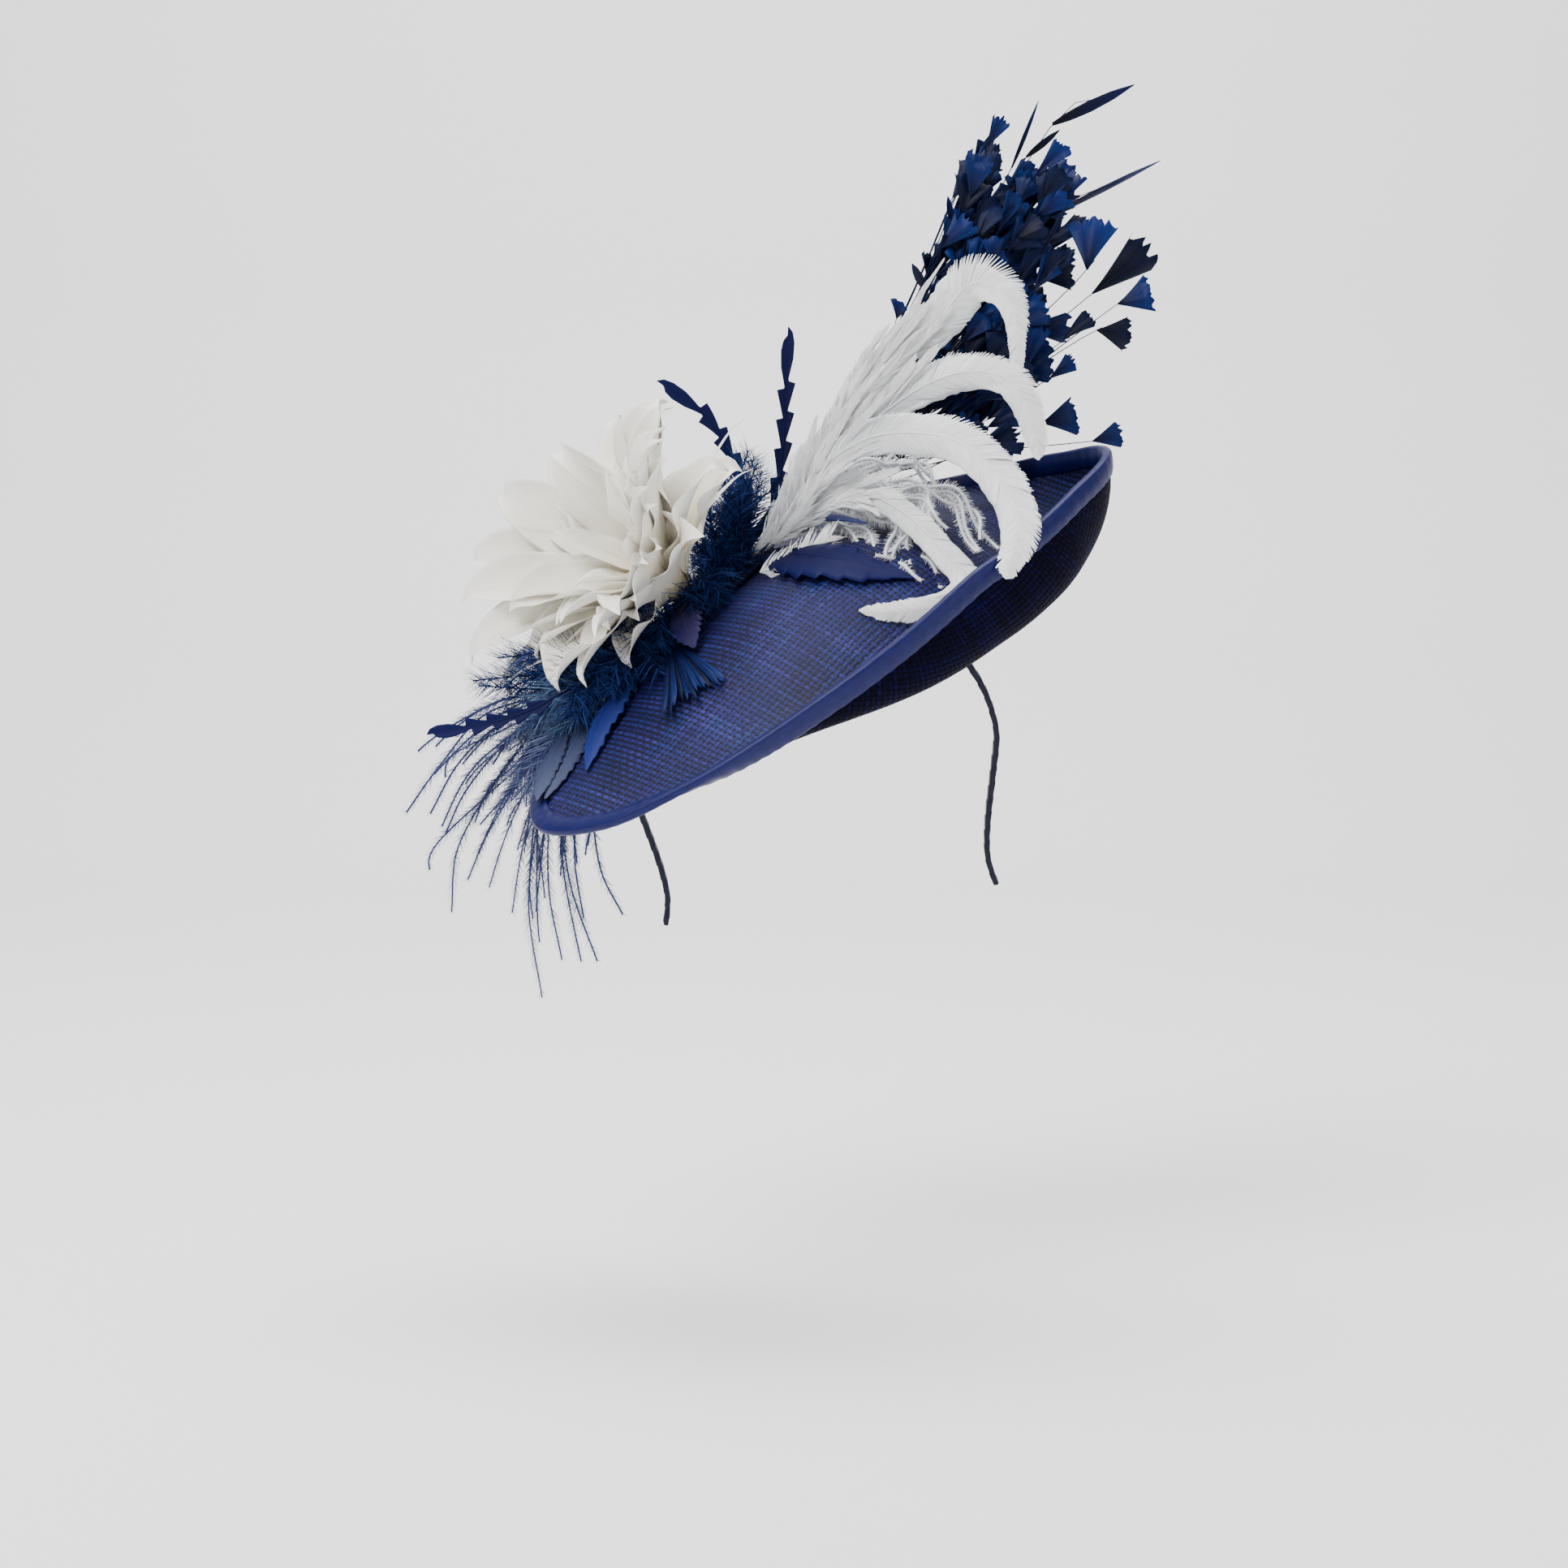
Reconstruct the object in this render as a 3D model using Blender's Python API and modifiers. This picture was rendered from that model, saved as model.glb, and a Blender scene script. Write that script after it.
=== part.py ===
"""Feathered fascinator hat: a woven saucer on a headband, dressed with a flower and feather sprays.

Units are metres, +Z is up, +X is the wearer's left and -Y is the wearer's front. The origin is the
underside of the headband at its top, where it sits on the head.
"""
import math
from functools import lru_cache

import bmesh
import bpy
from mathutils import Matrix, Vector

# Fits
SEAT_GAP = 0.0003
RIBBON_GAP = 0.0005
PAD_GAP = 0.0010

# Headband: half an ellipse over the head, then two legs that flick outward at their ends
BAND_HALF_SPAN = 0.082
BAND_CROWN_DEPTH = 0.078
BAND_LEG_LENGTH = 0.076
BAND_THICK = 0.003
BAND_WIDTH = 0.006
BAND_EDGE = 0.0006
BAND_ROLL = 7.0
BAND_LEAN = 22.0
BAND_ARC_STEPS = 20
# Share of the leg below the crown, share of the half span
BAND_LEG_SECTIONS = (
    (0.22, 0.965),
    (0.50, 0.915),
    (0.70, 0.890),
    (0.84, 0.890),
    (1.00, 0.920),
)

# Saucer: a domed floor that turns up into a wall at the front and the right-hand tip
SAUCER_HALF_LENGTH = 0.150
SAUCER_THICK = 0.0016
SAUCER_ROLL = 24.0
SAUCER_TILT = 32.0
SAUCER_YAW = 8.0
SAUCER_SHIFT = (0.0110, -0.0183)
SAUCER_BEARINGS = 60
SAUCER_TIP_BEARING = 8.0
DOME_SHARE = 0.62
DOME_RINGS = 3
TURN_RINGS = 5
TURN_STEPS = 41
TURN_LEAST_HEM = 0.5
FLOOR_STEP = 0.002
# Bearing in degrees from the tip, then shares of the half length: reach and rise of the corner
# where the floor turns, reach and rise of the rim
SAUCER_SECTIONS = (
    (8, 0.86, -0.44, 0.95, -0.09),
    (25, 0.85, -0.38, 0.89, -0.17),
    (45, 0.75, -0.30, 0.78, -0.21),
    (65, 0.64, -0.22, 0.69, -0.19),
    (90, 0.54, -0.15, 0.61, -0.15),
    (120, 0.50, -0.12, 0.59, -0.14),
    (150, 0.56, -0.12, 0.68, -0.15),
    (170, 0.66, -0.12, 0.79, -0.14),
    (187, 0.80, -0.12, 0.92, -0.13),
    (205, 0.92, -0.10, 1.06, -0.10),
    (218, 0.86, -0.09, 0.98, -0.09),
    (232, 0.76, -0.11, 0.82, -0.06),
    (247, 0.67, -0.15, 0.69, -0.03),
    (265, 0.62, -0.21, 0.61, 0.00),
    (290, 0.60, -0.30, 0.57, 0.02),
    (318, 0.63, -0.38, 0.60, 0.03),
    (335, 0.70, -0.42, 0.67, 0.00),
    (352, 0.80, -0.45, 0.80, -0.03),
)

# Binding: a satin ribbon folded over the rim
BINDING_WIDTH = 0.0090
BINDING_THICK = 0.0008
BINDING_CROWN = 0.0008
BINDING_COVER = 0.94

# Spray mount: one plain pad on the saucer that carries the flower and the feathers
PAD_LENGTH = 0.112
PAD_WIDTH = 0.030
PAD_THICK = 0.003
PAD_PLACE = (-0.42, 0.19)
PAD_TURN = 30.0
PAD_STEPS = 8
PAD_ROUNDING = 6
PAD_END_SHARE = 0.28

# Feather sprays: lengths in their tables are shares of this reach
SPRAY_REACH = 0.100
VANE_THICK = 0.0012
STEM_HALF_WIDTH = 0.0007
VANE_LEAST_HALF = 0.0003
KNOB_FLAT_SHARE = 0.85
STRAND_START_SHARE = 0.45
STRAND_START_SPREAD = 0.60
STRAND_TURN = (0.30, 1.7)
STRAND_NOD = (0.25, 2.3)
GOLDEN_ANGLE = math.pi * (3.0 - math.sqrt(5.0))
GOLDEN_SHARE = 0.5 * (math.sqrt(5.0) - 1.0)

# Flower
CORE_LENGTH = 0.026
CORE_FOOT_RADIUS = 0.0060
CORE_FOOT_SHARE = 0.6
CORE_HEAD_RADIUS = 0.0035
CORE_SIDES = 10
CORE_TURN = (-0.42, -0.79, 0.46)
CORE_PLACE = (0.12, 0.20)
FLOWER_AXIS = (-0.71, -0.57, 0.41)
PETAL_LENGTH = 0.082
PETAL_HALF_WIDTH = 0.025
PETAL_THICK = 0.0012
PETAL_CUP = 0.30
# Turn about the flower's axis from straight up, opening from the axis, both in degrees, share of
# the petal length, share of the petal width, share of the core from its head to the root
PETALS = (
    (0, 24, 0.66, 0.28, 0.10),
    (90, 24, 0.62, 0.28, 0.10),
    (180, 24, 0.60, 0.28, 0.10),
    (270, 24, 0.62, 0.28, 0.10),
    (45, 44, 0.90, 0.66, 0.20),
    (135, 44, 0.86, 0.66, 0.20),
    (225, 44, 0.78, 0.62, 0.20),
    (315, 42, 0.84, 0.66, 0.20),
    (5, 62, 1.00, 0.95, 0.38),
    (90, 62, 0.98, 0.95, 0.38),
    (170, 62, 0.90, 0.80, 0.38),
    (280, 54, 0.74, 0.70, 0.38),
    (48, 80, 1.00, 0.95, 0.56),
    (118, 78, 0.96, 0.70, 0.56),
    (195, 74, 0.70, 0.50, 0.56),
    (330, 76, 0.76, 0.80, 0.56),
)
# Share of the petal's length, share of its opening
PETAL_BEND = ((0.25, 0.70), (0.35, 0.95), (0.40, 1.20))
# Share along the petal, share of its half width
PETAL_OUTLINE = (
    (0.0, 0.10),
    (0.15, 0.42),
    (0.35, 0.86),
    (0.55, 1.00),
    (0.75, 0.82),
    (0.90, 0.44),
    (1.0, 0.06),
)

# Feathers that stand on the spray mount: name, finish, place on the mount as shares of its length
# and width, the way the vane faces, share of the outline, half width, then the points of the shaft
# after its root as shares of the spray reach
STANDING = (
    ("white_coque_1", "white_feather", (0.42, 0.10), (0.0, -1.0, 0.2), "coque", 0.0095,
     ((0.22, -0.17, 0.30), (0.56, -0.22, 0.77), (0.81, -0.26, 1.01), (0.98, -0.30, 1.20),
      (1.14, -0.36, 1.11), (1.17, -0.42, 0.86), (1.14, -0.46, 0.73))),
    ("white_coque_2", "white_feather", (0.38, -0.15), (0.0, -1.0, 0.2), "coque", 0.0095,
     ((0.22, -0.22, 0.29), (0.57, -0.36, 0.63), (0.85, -0.42, 0.80), (1.07, -0.46, 0.81),
      (1.18, -0.50, 0.71), (1.25, -0.54, 0.49), (1.24, -0.56, 0.39))),
    ("white_coque_3", "white_feather", (0.44, -0.30), (0.0, -1.0, 0.2), "coque", 0.0110,
     ((0.10, -0.26, 0.14), (0.22, -0.36, 0.34), (0.44, -0.50, 0.49), (0.66, -0.60, 0.51),
      (0.83, -0.68, 0.47), (0.99, -0.78, 0.33), (1.07, -0.90, 0.13), (1.01, -1.04, -0.11))),
    ("white_coque_4", "white_feather", (0.46, -0.30), (0.0, -1.0, 0.2), "coque", 0.0080,
     ((0.14, -0.24, 0.14), (0.28, -0.34, 0.23), (0.45, -0.42, 0.23), (0.61, -0.50, 0.14),
      (0.75, -0.64, -0.01), (0.84, -0.75, -0.13), (0.76, -0.79, -0.22), (0.57, -0.76, -0.26),
      (0.39, -0.70, -0.26))),
    ("arrow_quill_1", "navy_feather", (0.22, 0.44), (0.2, -1.0, 0.0), "arrow", 0.0045,
     ((0.13, 0.06, 0.14), (0.20, 0.10, 0.30), (0.18, 0.12, 0.46), (0.03, 0.12, 0.75),
      (-0.21, 0.10, 0.93))),
    ("arrow_quill_2", "navy_feather", (0.31, 0.44), (0.0, -1.0, 0.1), "arrow", 0.0045,
     ((0.20, 0.18, 0.23), (0.28, 0.22, 0.52), (0.31, 0.22, 1.12))),
    ("arrow_quill_3", "navy_feather", (-0.43, -0.44), (0.0, -1.0, 0.2), "arrow", 0.0045,
     ((-0.14, -0.04, 0.06), (-0.36, -0.11, -0.05), (-0.57, -0.15, -0.11), (-0.80, -0.18, -0.15))),
    ("satin_strip_feather", "blue_feather", (0.49, -0.10), (0.0, -0.5, 1.0), "leaf", 0.0040,
     ((0.19, -0.24, 0.12), (0.30, -0.33, 0.13), (0.43, -0.42, 0.10))),
)

# Feathers that lie over the saucer: name, finish, half width, then the points of the shaft as
# shares of the saucer's half length along and across, and the lift over its top face in metres
LYING = (
    ("leaf_feather_1", "blue_feather", 0.0055,
     ((-0.57, 0.03, 0.006), (-0.65, -0.09, 0.006), (-0.72, -0.20, 0.005), (-0.78, -0.33, 0.0014))),
    ("leaf_feather_2", "grey_feather", 0.0050,
     ((-0.74, -0.05, 0.005), (-0.81, -0.16, 0.004), (-0.88, -0.29, 0.003), (-0.92, -0.36, 0.0023))),
    ("leaf_feather_3", "grey_feather", 0.0040,
     ((-0.82, -0.10, 0.0075), (-0.88, -0.21, 0.0065), (-0.92, -0.30, 0.0045), (-0.94, -0.37, 0.0040))),
    ("leaf_feather_4", "purple_feather", 0.0050,
     ((-0.35, 0.13, 0.006), (-0.36, 0.06, 0.005), (-0.37, 0.00, 0.003), (-0.37, -0.06, 0.0014))),
    ("leaf_feather_5", "navy_feather", 0.0110,
     ((-0.10, 0.26, 0.006), (0.00, 0.10, 0.006), (0.12, -0.02, 0.005), (0.28, -0.10, 0.0013))),
    ("brim_fan_feather", "navy_feather", 0.0120,
     ((-0.44, 0.08, 0.006), (-0.43, -0.03, 0.004), (-0.42, -0.14, 0.003), (-0.41, -0.26, 0.0016))),
)

# Outlines: share along the feather, share of its half width
OUTLINES = {
    "coque": ((0.0, 0.10), (0.10, 0.12), (0.20, 0.50), (0.40, 0.90), (0.65, 1.00), (0.85, 0.80),
              (0.95, 0.45), (1.0, 0.05)),
    "leaf": ((0.0, 0.12), (0.20, 0.70), (0.45, 1.00), (0.75, 0.75), (1.0, 0.06)),
    "fan": ((0.0, 0.10), (0.30, 0.22), (1.0, 1.00)),
    "frond": ((0.0, 0.20), (0.20, 0.60), (0.60, 1.00), (0.85, 0.70), (1.0, 0.10)),
}
ARROW_NOTCHES = 6
ARROW_BARE_SHARE = 0.40
ARROW_WAIST = 0.35
ARROW_QUILL = 0.20
ARROW_BARB = 0.85
ARROW_STEP = 0.01
ARROW_TIP = 0.10

# Fan spray: where each fan starts and ends, right and up from the spray's root, half its wide end,
# and its depth behind the root, all as shares of the spray reach
FANS = (
    (1.09, 1.80, 1.16, 1.92, 0.047, 0.02),
    (1.08, 1.62, 1.12, 1.77, 0.055, -0.04),
    (1.21, 1.72, 1.33, 2.02, 0.012, 0.08),
    (1.27, 1.76, 1.42, 1.88, 0.017, 0.00),
    (1.31, 1.68, 1.43, 1.79, 0.053, -0.06),
    (1.39, 1.91, 1.76, 2.09, 0.027, 0.04),
    (1.37, 1.49, 1.87, 1.74, 0.018, -0.02),
    (1.33, 1.32, 1.46, 1.56, 0.012, -0.10),
    (1.14, 1.42, 1.21, 1.57, 0.051, -0.12),
    (1.23, 1.54, 1.26, 1.67, 0.087, 0.10),
    (1.54, 1.25, 1.56, 1.46, 0.122, -0.08),
    (1.34, 1.20, 1.40, 1.33, 0.051, -0.16),
    (1.57, 1.15, 1.80, 1.34, 0.106, 0.00),
    (1.68, 1.10, 1.82, 1.14, 0.091, -0.06),
    (1.58, 0.98, 1.72, 0.96, 0.081, -0.12),
    (0.98, 1.50, 1.05, 1.68, 0.027, 0.00),
    (0.94, 1.47, 0.92, 1.59, 0.018, 0.06),
    (0.88, 1.25, 0.94, 1.40, 0.061, -0.04),
    (0.82, 1.17, 0.76, 1.29, 0.022, 0.02),
    (0.69, 1.04, 0.71, 1.11, 0.052, 0.04),
    (1.35, 0.57, 1.49, 0.61, 0.090, 0.04),
    (1.58, 0.49, 1.70, 0.52, 0.060, 0.06),
    (1.24, 0.76, 1.29, 0.98, 0.079, -0.06),
    (1.44, 0.94, 1.54, 1.05, 0.061, -0.02),
    (1.11, 1.25, 1.12, 1.37, 0.055, -0.14),
    (1.38, 0.77, 1.49, 0.85, 0.048, 0.02),
)
FAN_ROOT = (0.44, 0.36)
FAN_KNOB_RADIUS = 0.0035
FAN_TRUNK = (0.42, 0.06, 0.56)
FAN_TRUNK_RADIUS = 0.0022
FAN_TRUNK_TAPER = 0.6
FAN_STEM_SPAN = (0.50, 0.95)
FAN_BEND = 0.03

# White curls: points of each lock after the root, as shares of the spray reach
CURL_ROOT = (0.49, 0.16)
CURL_HALF_WIDTH = 0.0028
CURL_KNOB_RADIUS = 0.0028
CURLS = (
    ((0.29, -0.22, 0.18), (0.52, -0.36, 0.24), (0.70, -0.50, 0.17), (0.76, -0.58, 0.06)),
    ((0.29, -0.23, 0.14), (0.50, -0.41, 0.14), (0.60, -0.54, 0.05), (0.54, -0.60, -0.02)),
    ((0.29, -0.18, 0.19), (0.56, -0.30, 0.27), (0.80, -0.50, 0.16), (0.86, -0.60, 0.02)),
    ((0.26, -0.24, 0.10), (0.42, -0.42, 0.08), (0.48, -0.54, 0.02), (0.42, -0.58, -0.02)),
    ((0.29, -0.14, 0.21), (0.50, -0.20, 0.34), (0.66, -0.24, 0.38), (0.74, -0.28, 0.30)),
)

# Ostrich spray: points of each frond after the root, as shares of the spray reach
OSTRICH_ROOT = (-0.455, -0.12)
OSTRICH_KNOB_RADIUS = 0.0040
FROND_HALF_WIDTH = 0.0040
FRONDS = (
    ((-0.15, 0.08, -0.02), (-0.41, 0.10, -0.12), (-0.61, 0.10, -0.30), (-0.74, 0.08, -0.53)),
    ((-0.15, 0.10, -0.03), (-0.39, 0.14, -0.20), (-0.58, 0.16, -0.42), (-0.68, 0.16, -0.62)),
    ((-0.16, 0.12, -0.04), (-0.38, 0.20, -0.28), (-0.53, 0.22, -0.50), (-0.64, 0.22, -0.72),
     (-0.66, 0.20, -0.98)),
    ((-0.15, 0.08, 0.00), (-0.48, 0.06, -0.08), (-0.69, 0.04, -0.31), (-0.84, 0.02, -0.52)),
    ((-0.18, 0.14, -0.05), (-0.35, 0.24, -0.34), (-0.50, 0.26, -0.62), (-0.59, 0.24, -0.84)),
    ((-0.18, 0.16, -0.06), (-0.31, 0.28, -0.38), (-0.43, 0.32, -0.66), (-0.50, 0.30, -0.88)),
    ((-0.19, 0.18, -0.06), (-0.28, 0.32, -0.42), (-0.36, 0.36, -0.74), (-0.40, 0.34, -1.00)),
    ((-0.20, 0.20, -0.06), (-0.27, 0.36, -0.50), (-0.33, 0.40, -0.96), (-0.27, 0.38, -1.39)),
    ((-0.19, 0.20, -0.06), (-0.23, 0.38, -0.50), (-0.24, 0.42, -0.89), (-0.18, 0.40, -1.22)),
    ((-0.18, 0.22, -0.05), (-0.18, 0.40, -0.54), (-0.14, 0.44, -0.89), (-0.02, 0.42, -1.23)),
    ((-0.16, 0.24, -0.04), (-0.12, 0.40, -0.50), (-0.12, 0.42, -0.78), (-0.08, 0.40, -1.03)),
    ((-0.14, 0.26, -0.02), (-0.05, 0.38, -0.50), (0.00, 0.38, -0.81), (0.10, 0.36, -1.01)),
)

# Marabou collar: a backing strip on the mount, and locks that stand off it
COLLAR_SPAN = (-0.36, 0.36)
COLLAR_ACROSS = 0.20
COLLAR_HALF_WIDTH = 0.0035
COLLAR_THICK = 0.0025
COLLAR_FALL = 0.0007
LOCK_RADIUS = 0.0045
LOCK_ARCH = 0.004
LOCK_SIDE = (0.3, -0.9, 0.2)
LOCK_CORNER = 0.3
# Share along a lock, share of its radius
LOCK_SECTIONS = ((0.0, 0.25), (0.35, 1.0), (0.7, 0.8), (1.0, 0.10))
# Share along the mount, then the lock's tip right, back and up as shares of the spray reach
LOCKS = (
    (0.34, 0.10, -0.05, 0.50),
    (0.30, 0.04, -0.01, 0.44),
    (0.26, 0.01, 0.02, 0.33),
    (0.22, 0.01, 0.04, 0.22),
    (-0.35, -0.48, -0.04, -0.02),
    (-0.34, -0.42, -0.02, 0.06),
    (-0.33, -0.33, -0.04, 0.02),
    (-0.28, -0.25, 0.02, 0.06),
    (-0.22, -0.17, 0.04, 0.10),
    (-0.16, -0.08, 0.06, 0.12),
    (-0.30, -0.20, -0.14, -0.02),
    (-0.20, -0.10, -0.16, 0.02),
    (-0.10, -0.04, -0.14, 0.04),
)

# Colours and finishes: sRGB hex, roughness
FINISHES = {
    "sinamay": ("#20214A", 0.62),
    "satin": ("#2B3F8F", 0.38),
    "band_ribbon": ("#141428", 0.45),
    "backing": ("#1B1C3A", 0.80),
    "ivory": ("#E4E1DA", 0.60),
    "white_feather": ("#D9DCDC", 0.60),
    "navy_feather": ("#14143C", 0.55),
    "blue_feather": ("#2A4A80", 0.50),
    "grey_feather": ("#6C7791", 0.65),
    "purple_feather": ("#3A3168", 0.60),
}


def clear_scene():
    """Remove what the file holds, so that the script builds the same thing each time."""
    for obj in list(bpy.data.objects):
        bpy.data.objects.remove(obj, do_unlink=True)
    for mesh in list(bpy.data.meshes):
        bpy.data.meshes.remove(mesh)


def linear(channel):
    """Return one sRGB channel of 0 to 255 as a linear value."""
    value = channel / 255.0
    return value / 12.92 if value <= 0.04045 else ((value + 0.055) / 1.055) ** 2.4


def finish(name):
    """Return the named material, made on its first use."""
    found = bpy.data.materials.get(name)
    if found:
        return found
    code, roughness = FINISHES[name]
    colour = [linear(int(code[i:i + 2], 16)) for i in (1, 3, 5)] + [1.0]
    material = bpy.data.materials.new(name)
    material.use_nodes = True
    shader = material.node_tree.nodes["Principled BSDF"]
    shader.inputs["Base Color"].default_value = colour
    shader.inputs["Roughness"].default_value = roughness
    shader.inputs["Metallic"].default_value = 0.0
    material.diffuse_color = colour
    return material


def add_object(name, data, slot):
    """Put data in the hat's collection as an object with one material."""
    obj = bpy.data.objects.new(name, data)
    data.materials.clear()
    data.materials.append(finish(slot))
    collection = bpy.data.collections.get("fascinator_hat")
    if collection is None:
        collection = bpy.data.collections.new("fascinator_hat")
        bpy.context.scene.collection.children.link(collection)
    collection.objects.link(obj)
    return obj


def mesh_object(name, vertices, faces, slot):
    """Make a mesh object from vertices and faces."""
    mesh = bpy.data.meshes.new(name)
    mesh.from_pydata([tuple(v) for v in vertices], [], faces)
    mesh.update()
    return add_object(name, mesh, slot)


def solidify(obj, thickness, offset):
    """Give an open surface its thickness; offset 1 builds along the normals, -1 against them."""
    modifier = obj.modifiers.new("wall", "SOLIDIFY")
    modifier.thickness = thickness
    modifier.offset = offset
    modifier.use_even_offset = False
    return modifier


def interpolate(table, share, column=1):
    """Read a column of a table of rows (share, value, ...) at a share, in straight runs."""
    if share <= table[0][0]:
        return table[0][column]
    for low, high in zip(table, table[1:]):
        if share <= high[0]:
            span = (share - low[0]) / max(high[0] - low[0], 1e-9)
            return low[column] + (high[column] - low[column]) * span
    return table[-1][column]


def around(rows, bearing, column):
    """Read a column of rows (bearing, ...) at a bearing, smoothly and closed at 360 degrees."""
    count = len(rows)
    bearing = (bearing - rows[0][0]) % 360.0 + rows[0][0]

    def row(index):
        return rows[index % count][column]

    def place(index):
        return rows[index % count][0] + 360.0 * (index // count)

    for i in range(count):
        if place(i) <= bearing < place(i + 1):
            span = place(i + 1) - place(i)
            t = (bearing - place(i)) / span
            start = (row(i + 1) - row(i - 1)) / (place(i + 1) - place(i - 1)) * span
            end = (row(i + 2) - row(i)) / (place(i + 2) - place(i)) * span
            return ((2 * t**3 - 3 * t**2 + 1) * row(i) + (t**3 - 2 * t**2 + t) * start
                    + (3 * t**2 - 2 * t**3) * row(i + 1) + (t**3 - t**2) * end)
    return row(0)


def smooth_path(points, shares):
    """Return points at the given shares of the length of a smooth curve through the chosen points."""
    points = [Vector(p) for p in points]
    ends = [2 * points[0] - points[1]] + points + [2 * points[-1] - points[-2]]
    fine = [points[0]]
    steps = 12
    for i in range(len(points) - 1):
        a, b, c, d = ends[i:i + 4]
        for k in range(1, steps + 1):
            t = k / steps
            fine.append(0.5 * (2 * b + (c - a) * t + (2 * a - 5 * b + 4 * c - d) * t**2
                               + (3 * b - a - 3 * c + d) * t**3))
    lengths = [0.0]
    for low, high in zip(fine, fine[1:]):
        lengths.append(lengths[-1] + (high - low).length)
    table = [(lengths[i] / lengths[-1], fine[i]) for i in range(len(fine))]
    return [Vector(interpolate(table, share)) for share in shares]


def even(count):
    """Return count shares from 0 to 1."""
    return [i / (count - 1) for i in range(count)]


def blade_loops(path, facing, half_widths, thickness, cup=0.0, across=2):
    """Return the closed section loops of a blade: sharp at both edges and thick in the middle."""
    loops = []
    last = len(path) - 1
    for i, centre in enumerate(path):
        tangent = (path[min(i + 1, last)] - path[max(i - 1, 0)]).normalized()
        side = tangent.cross(Vector(facing)).normalized()
        normal = side.cross(tangent)
        half = half_widths[i]
        top = []
        bottom = []
        for k in range(across + 1):
            s = 2.0 * k / across - 1.0
            middle = centre + side * (half * s) + normal * (cup * half * s * s)
            rise = normal * (0.5 * thickness * (1.0 - s * s))
            top.append(middle + rise)
            bottom.append(middle - rise)
        loops.append(top + bottom[-2:0:-1])
    return loops


def loft(name, loops, slot):
    """Make one closed solid through section loops that have the same number of points."""
    sides = len(loops[0])
    vertices = [point for loop in loops for point in loop]
    faces = []
    for i in range(len(loops) - 1):
        for k in range(sides):
            after = (k + 1) % sides
            low = i * sides
            high = low + sides
            faces.append((low + k, low + after, high + after, high + k))
    faces.append(tuple(reversed(range(sides))))
    faces.append(tuple(range(len(vertices) - sides, len(vertices))))
    obj = mesh_object(name, vertices, faces, slot)
    face_outward(obj.data)
    return obj


def face_outward(mesh):
    """Turn a closed mesh's faces so that they face out."""
    volume = 0.0
    for face in mesh.polygons:
        corners = [mesh.vertices[v].co for v in face.vertices]
        for b, c in zip(corners[1:], corners[2:]):
            volume += corners[0].dot(b.cross(c))
    if volume < 0.0:
        mesh.flip_normals()


def blade(name, points, facing, outline, half_width, thickness, slot, shares=None, cup=0.0, across=2):
    """Make a feather: a blade along a smooth path, as wide as its outline table says."""
    shares = shares or even(11)
    path = smooth_path(points, shares)
    halves = [max(interpolate(outline, s) * half_width, VANE_LEAST_HALF) for s in shares]
    return loft(name, blade_loops(path, facing, halves, thickness, cup, across), slot)


def seat_offset(run, facing, normal, half_width, thickness):
    """Return how far a blade's root stands off a surface so that its corners clear it by the gap."""
    side = run.cross(Vector(facing)).normalized()
    flat = side.cross(run).normalized()
    return SEAT_GAP + half_width * abs(side.dot(normal)) + 0.5 * thickness * abs(flat.dot(normal))


def triangulate(obj):
    """Split an object's faces into triangles, so that a union meets flat faces only."""
    work = bmesh.new()
    work.from_mesh(obj.data)
    bmesh.ops.triangulate(work, faces=work.faces)
    work.to_mesh(obj.data)
    work.free()


def drop_pockets(mesh):
    """Remove the closed pockets that unions leave inside a body: keep its largest shell."""
    work = bmesh.new()
    work.from_mesh(mesh)
    left = set(work.verts)
    shells = []
    while left:
        shell = set()
        stack = [left.pop()]
        while stack:
            vertex = stack.pop()
            shell.add(vertex)
            near = {edge.other_vert(vertex) for edge in vertex.link_edges} & left
            left -= near
            stack.extend(near)
        shells.append(shell)
    shells.sort(key=len, reverse=True)
    for shell in shells[1:]:
        bmesh.ops.delete(work, geom=list(shell), context="VERTS")
    work.to_mesh(mesh)
    work.free()


def fuse(name, solids, slot):
    """Join overlapping closed solids into one body by exact unions."""
    for solid in solids:
        triangulate(solid)
    base = solids[0]
    for other in solids[1:]:
        modifier = base.modifiers.new("join", "BOOLEAN")
        modifier.operation = "UNION"
        modifier.solver = "EXACT"
        modifier.object = other
    bpy.context.view_layer.update()
    evaluated = base.evaluated_get(bpy.context.evaluated_depsgraph_get())
    mesh = bpy.data.meshes.new_from_object(evaluated)
    mesh.transform(base.matrix_world)
    drop_pockets(mesh)
    for solid in solids:
        bpy.data.objects.remove(solid, do_unlink=True)
    mesh.name = name
    return add_object(name, mesh, slot)


# Headband

def band_axes():
    """Return the band's own right, down and forward axes."""
    roll = math.radians(BAND_ROLL)
    lean = math.radians(BAND_LEAN)
    right = Vector((math.cos(roll), 0.0, math.sin(roll)))
    down = Vector((math.sin(roll) * math.cos(lean), math.sin(lean), -math.cos(roll) * math.cos(lean)))
    return right, down, right.cross(down)


def band_half_outline():
    """Return the right half of the band's inner line as (across, down) pairs from its top."""
    line = []
    for i in range(BAND_ARC_STEPS // 2 + 1):
        angle = math.pi * i / BAND_ARC_STEPS
        line.append((BAND_HALF_SPAN * math.sin(angle), BAND_CROWN_DEPTH * (1.0 - math.cos(angle))))
    for leg_share, span_share in BAND_LEG_SECTIONS:
        line.append((BAND_HALF_SPAN * span_share, BAND_CROWN_DEPTH + BAND_LEG_LENGTH * leg_share))
    return line


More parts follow.
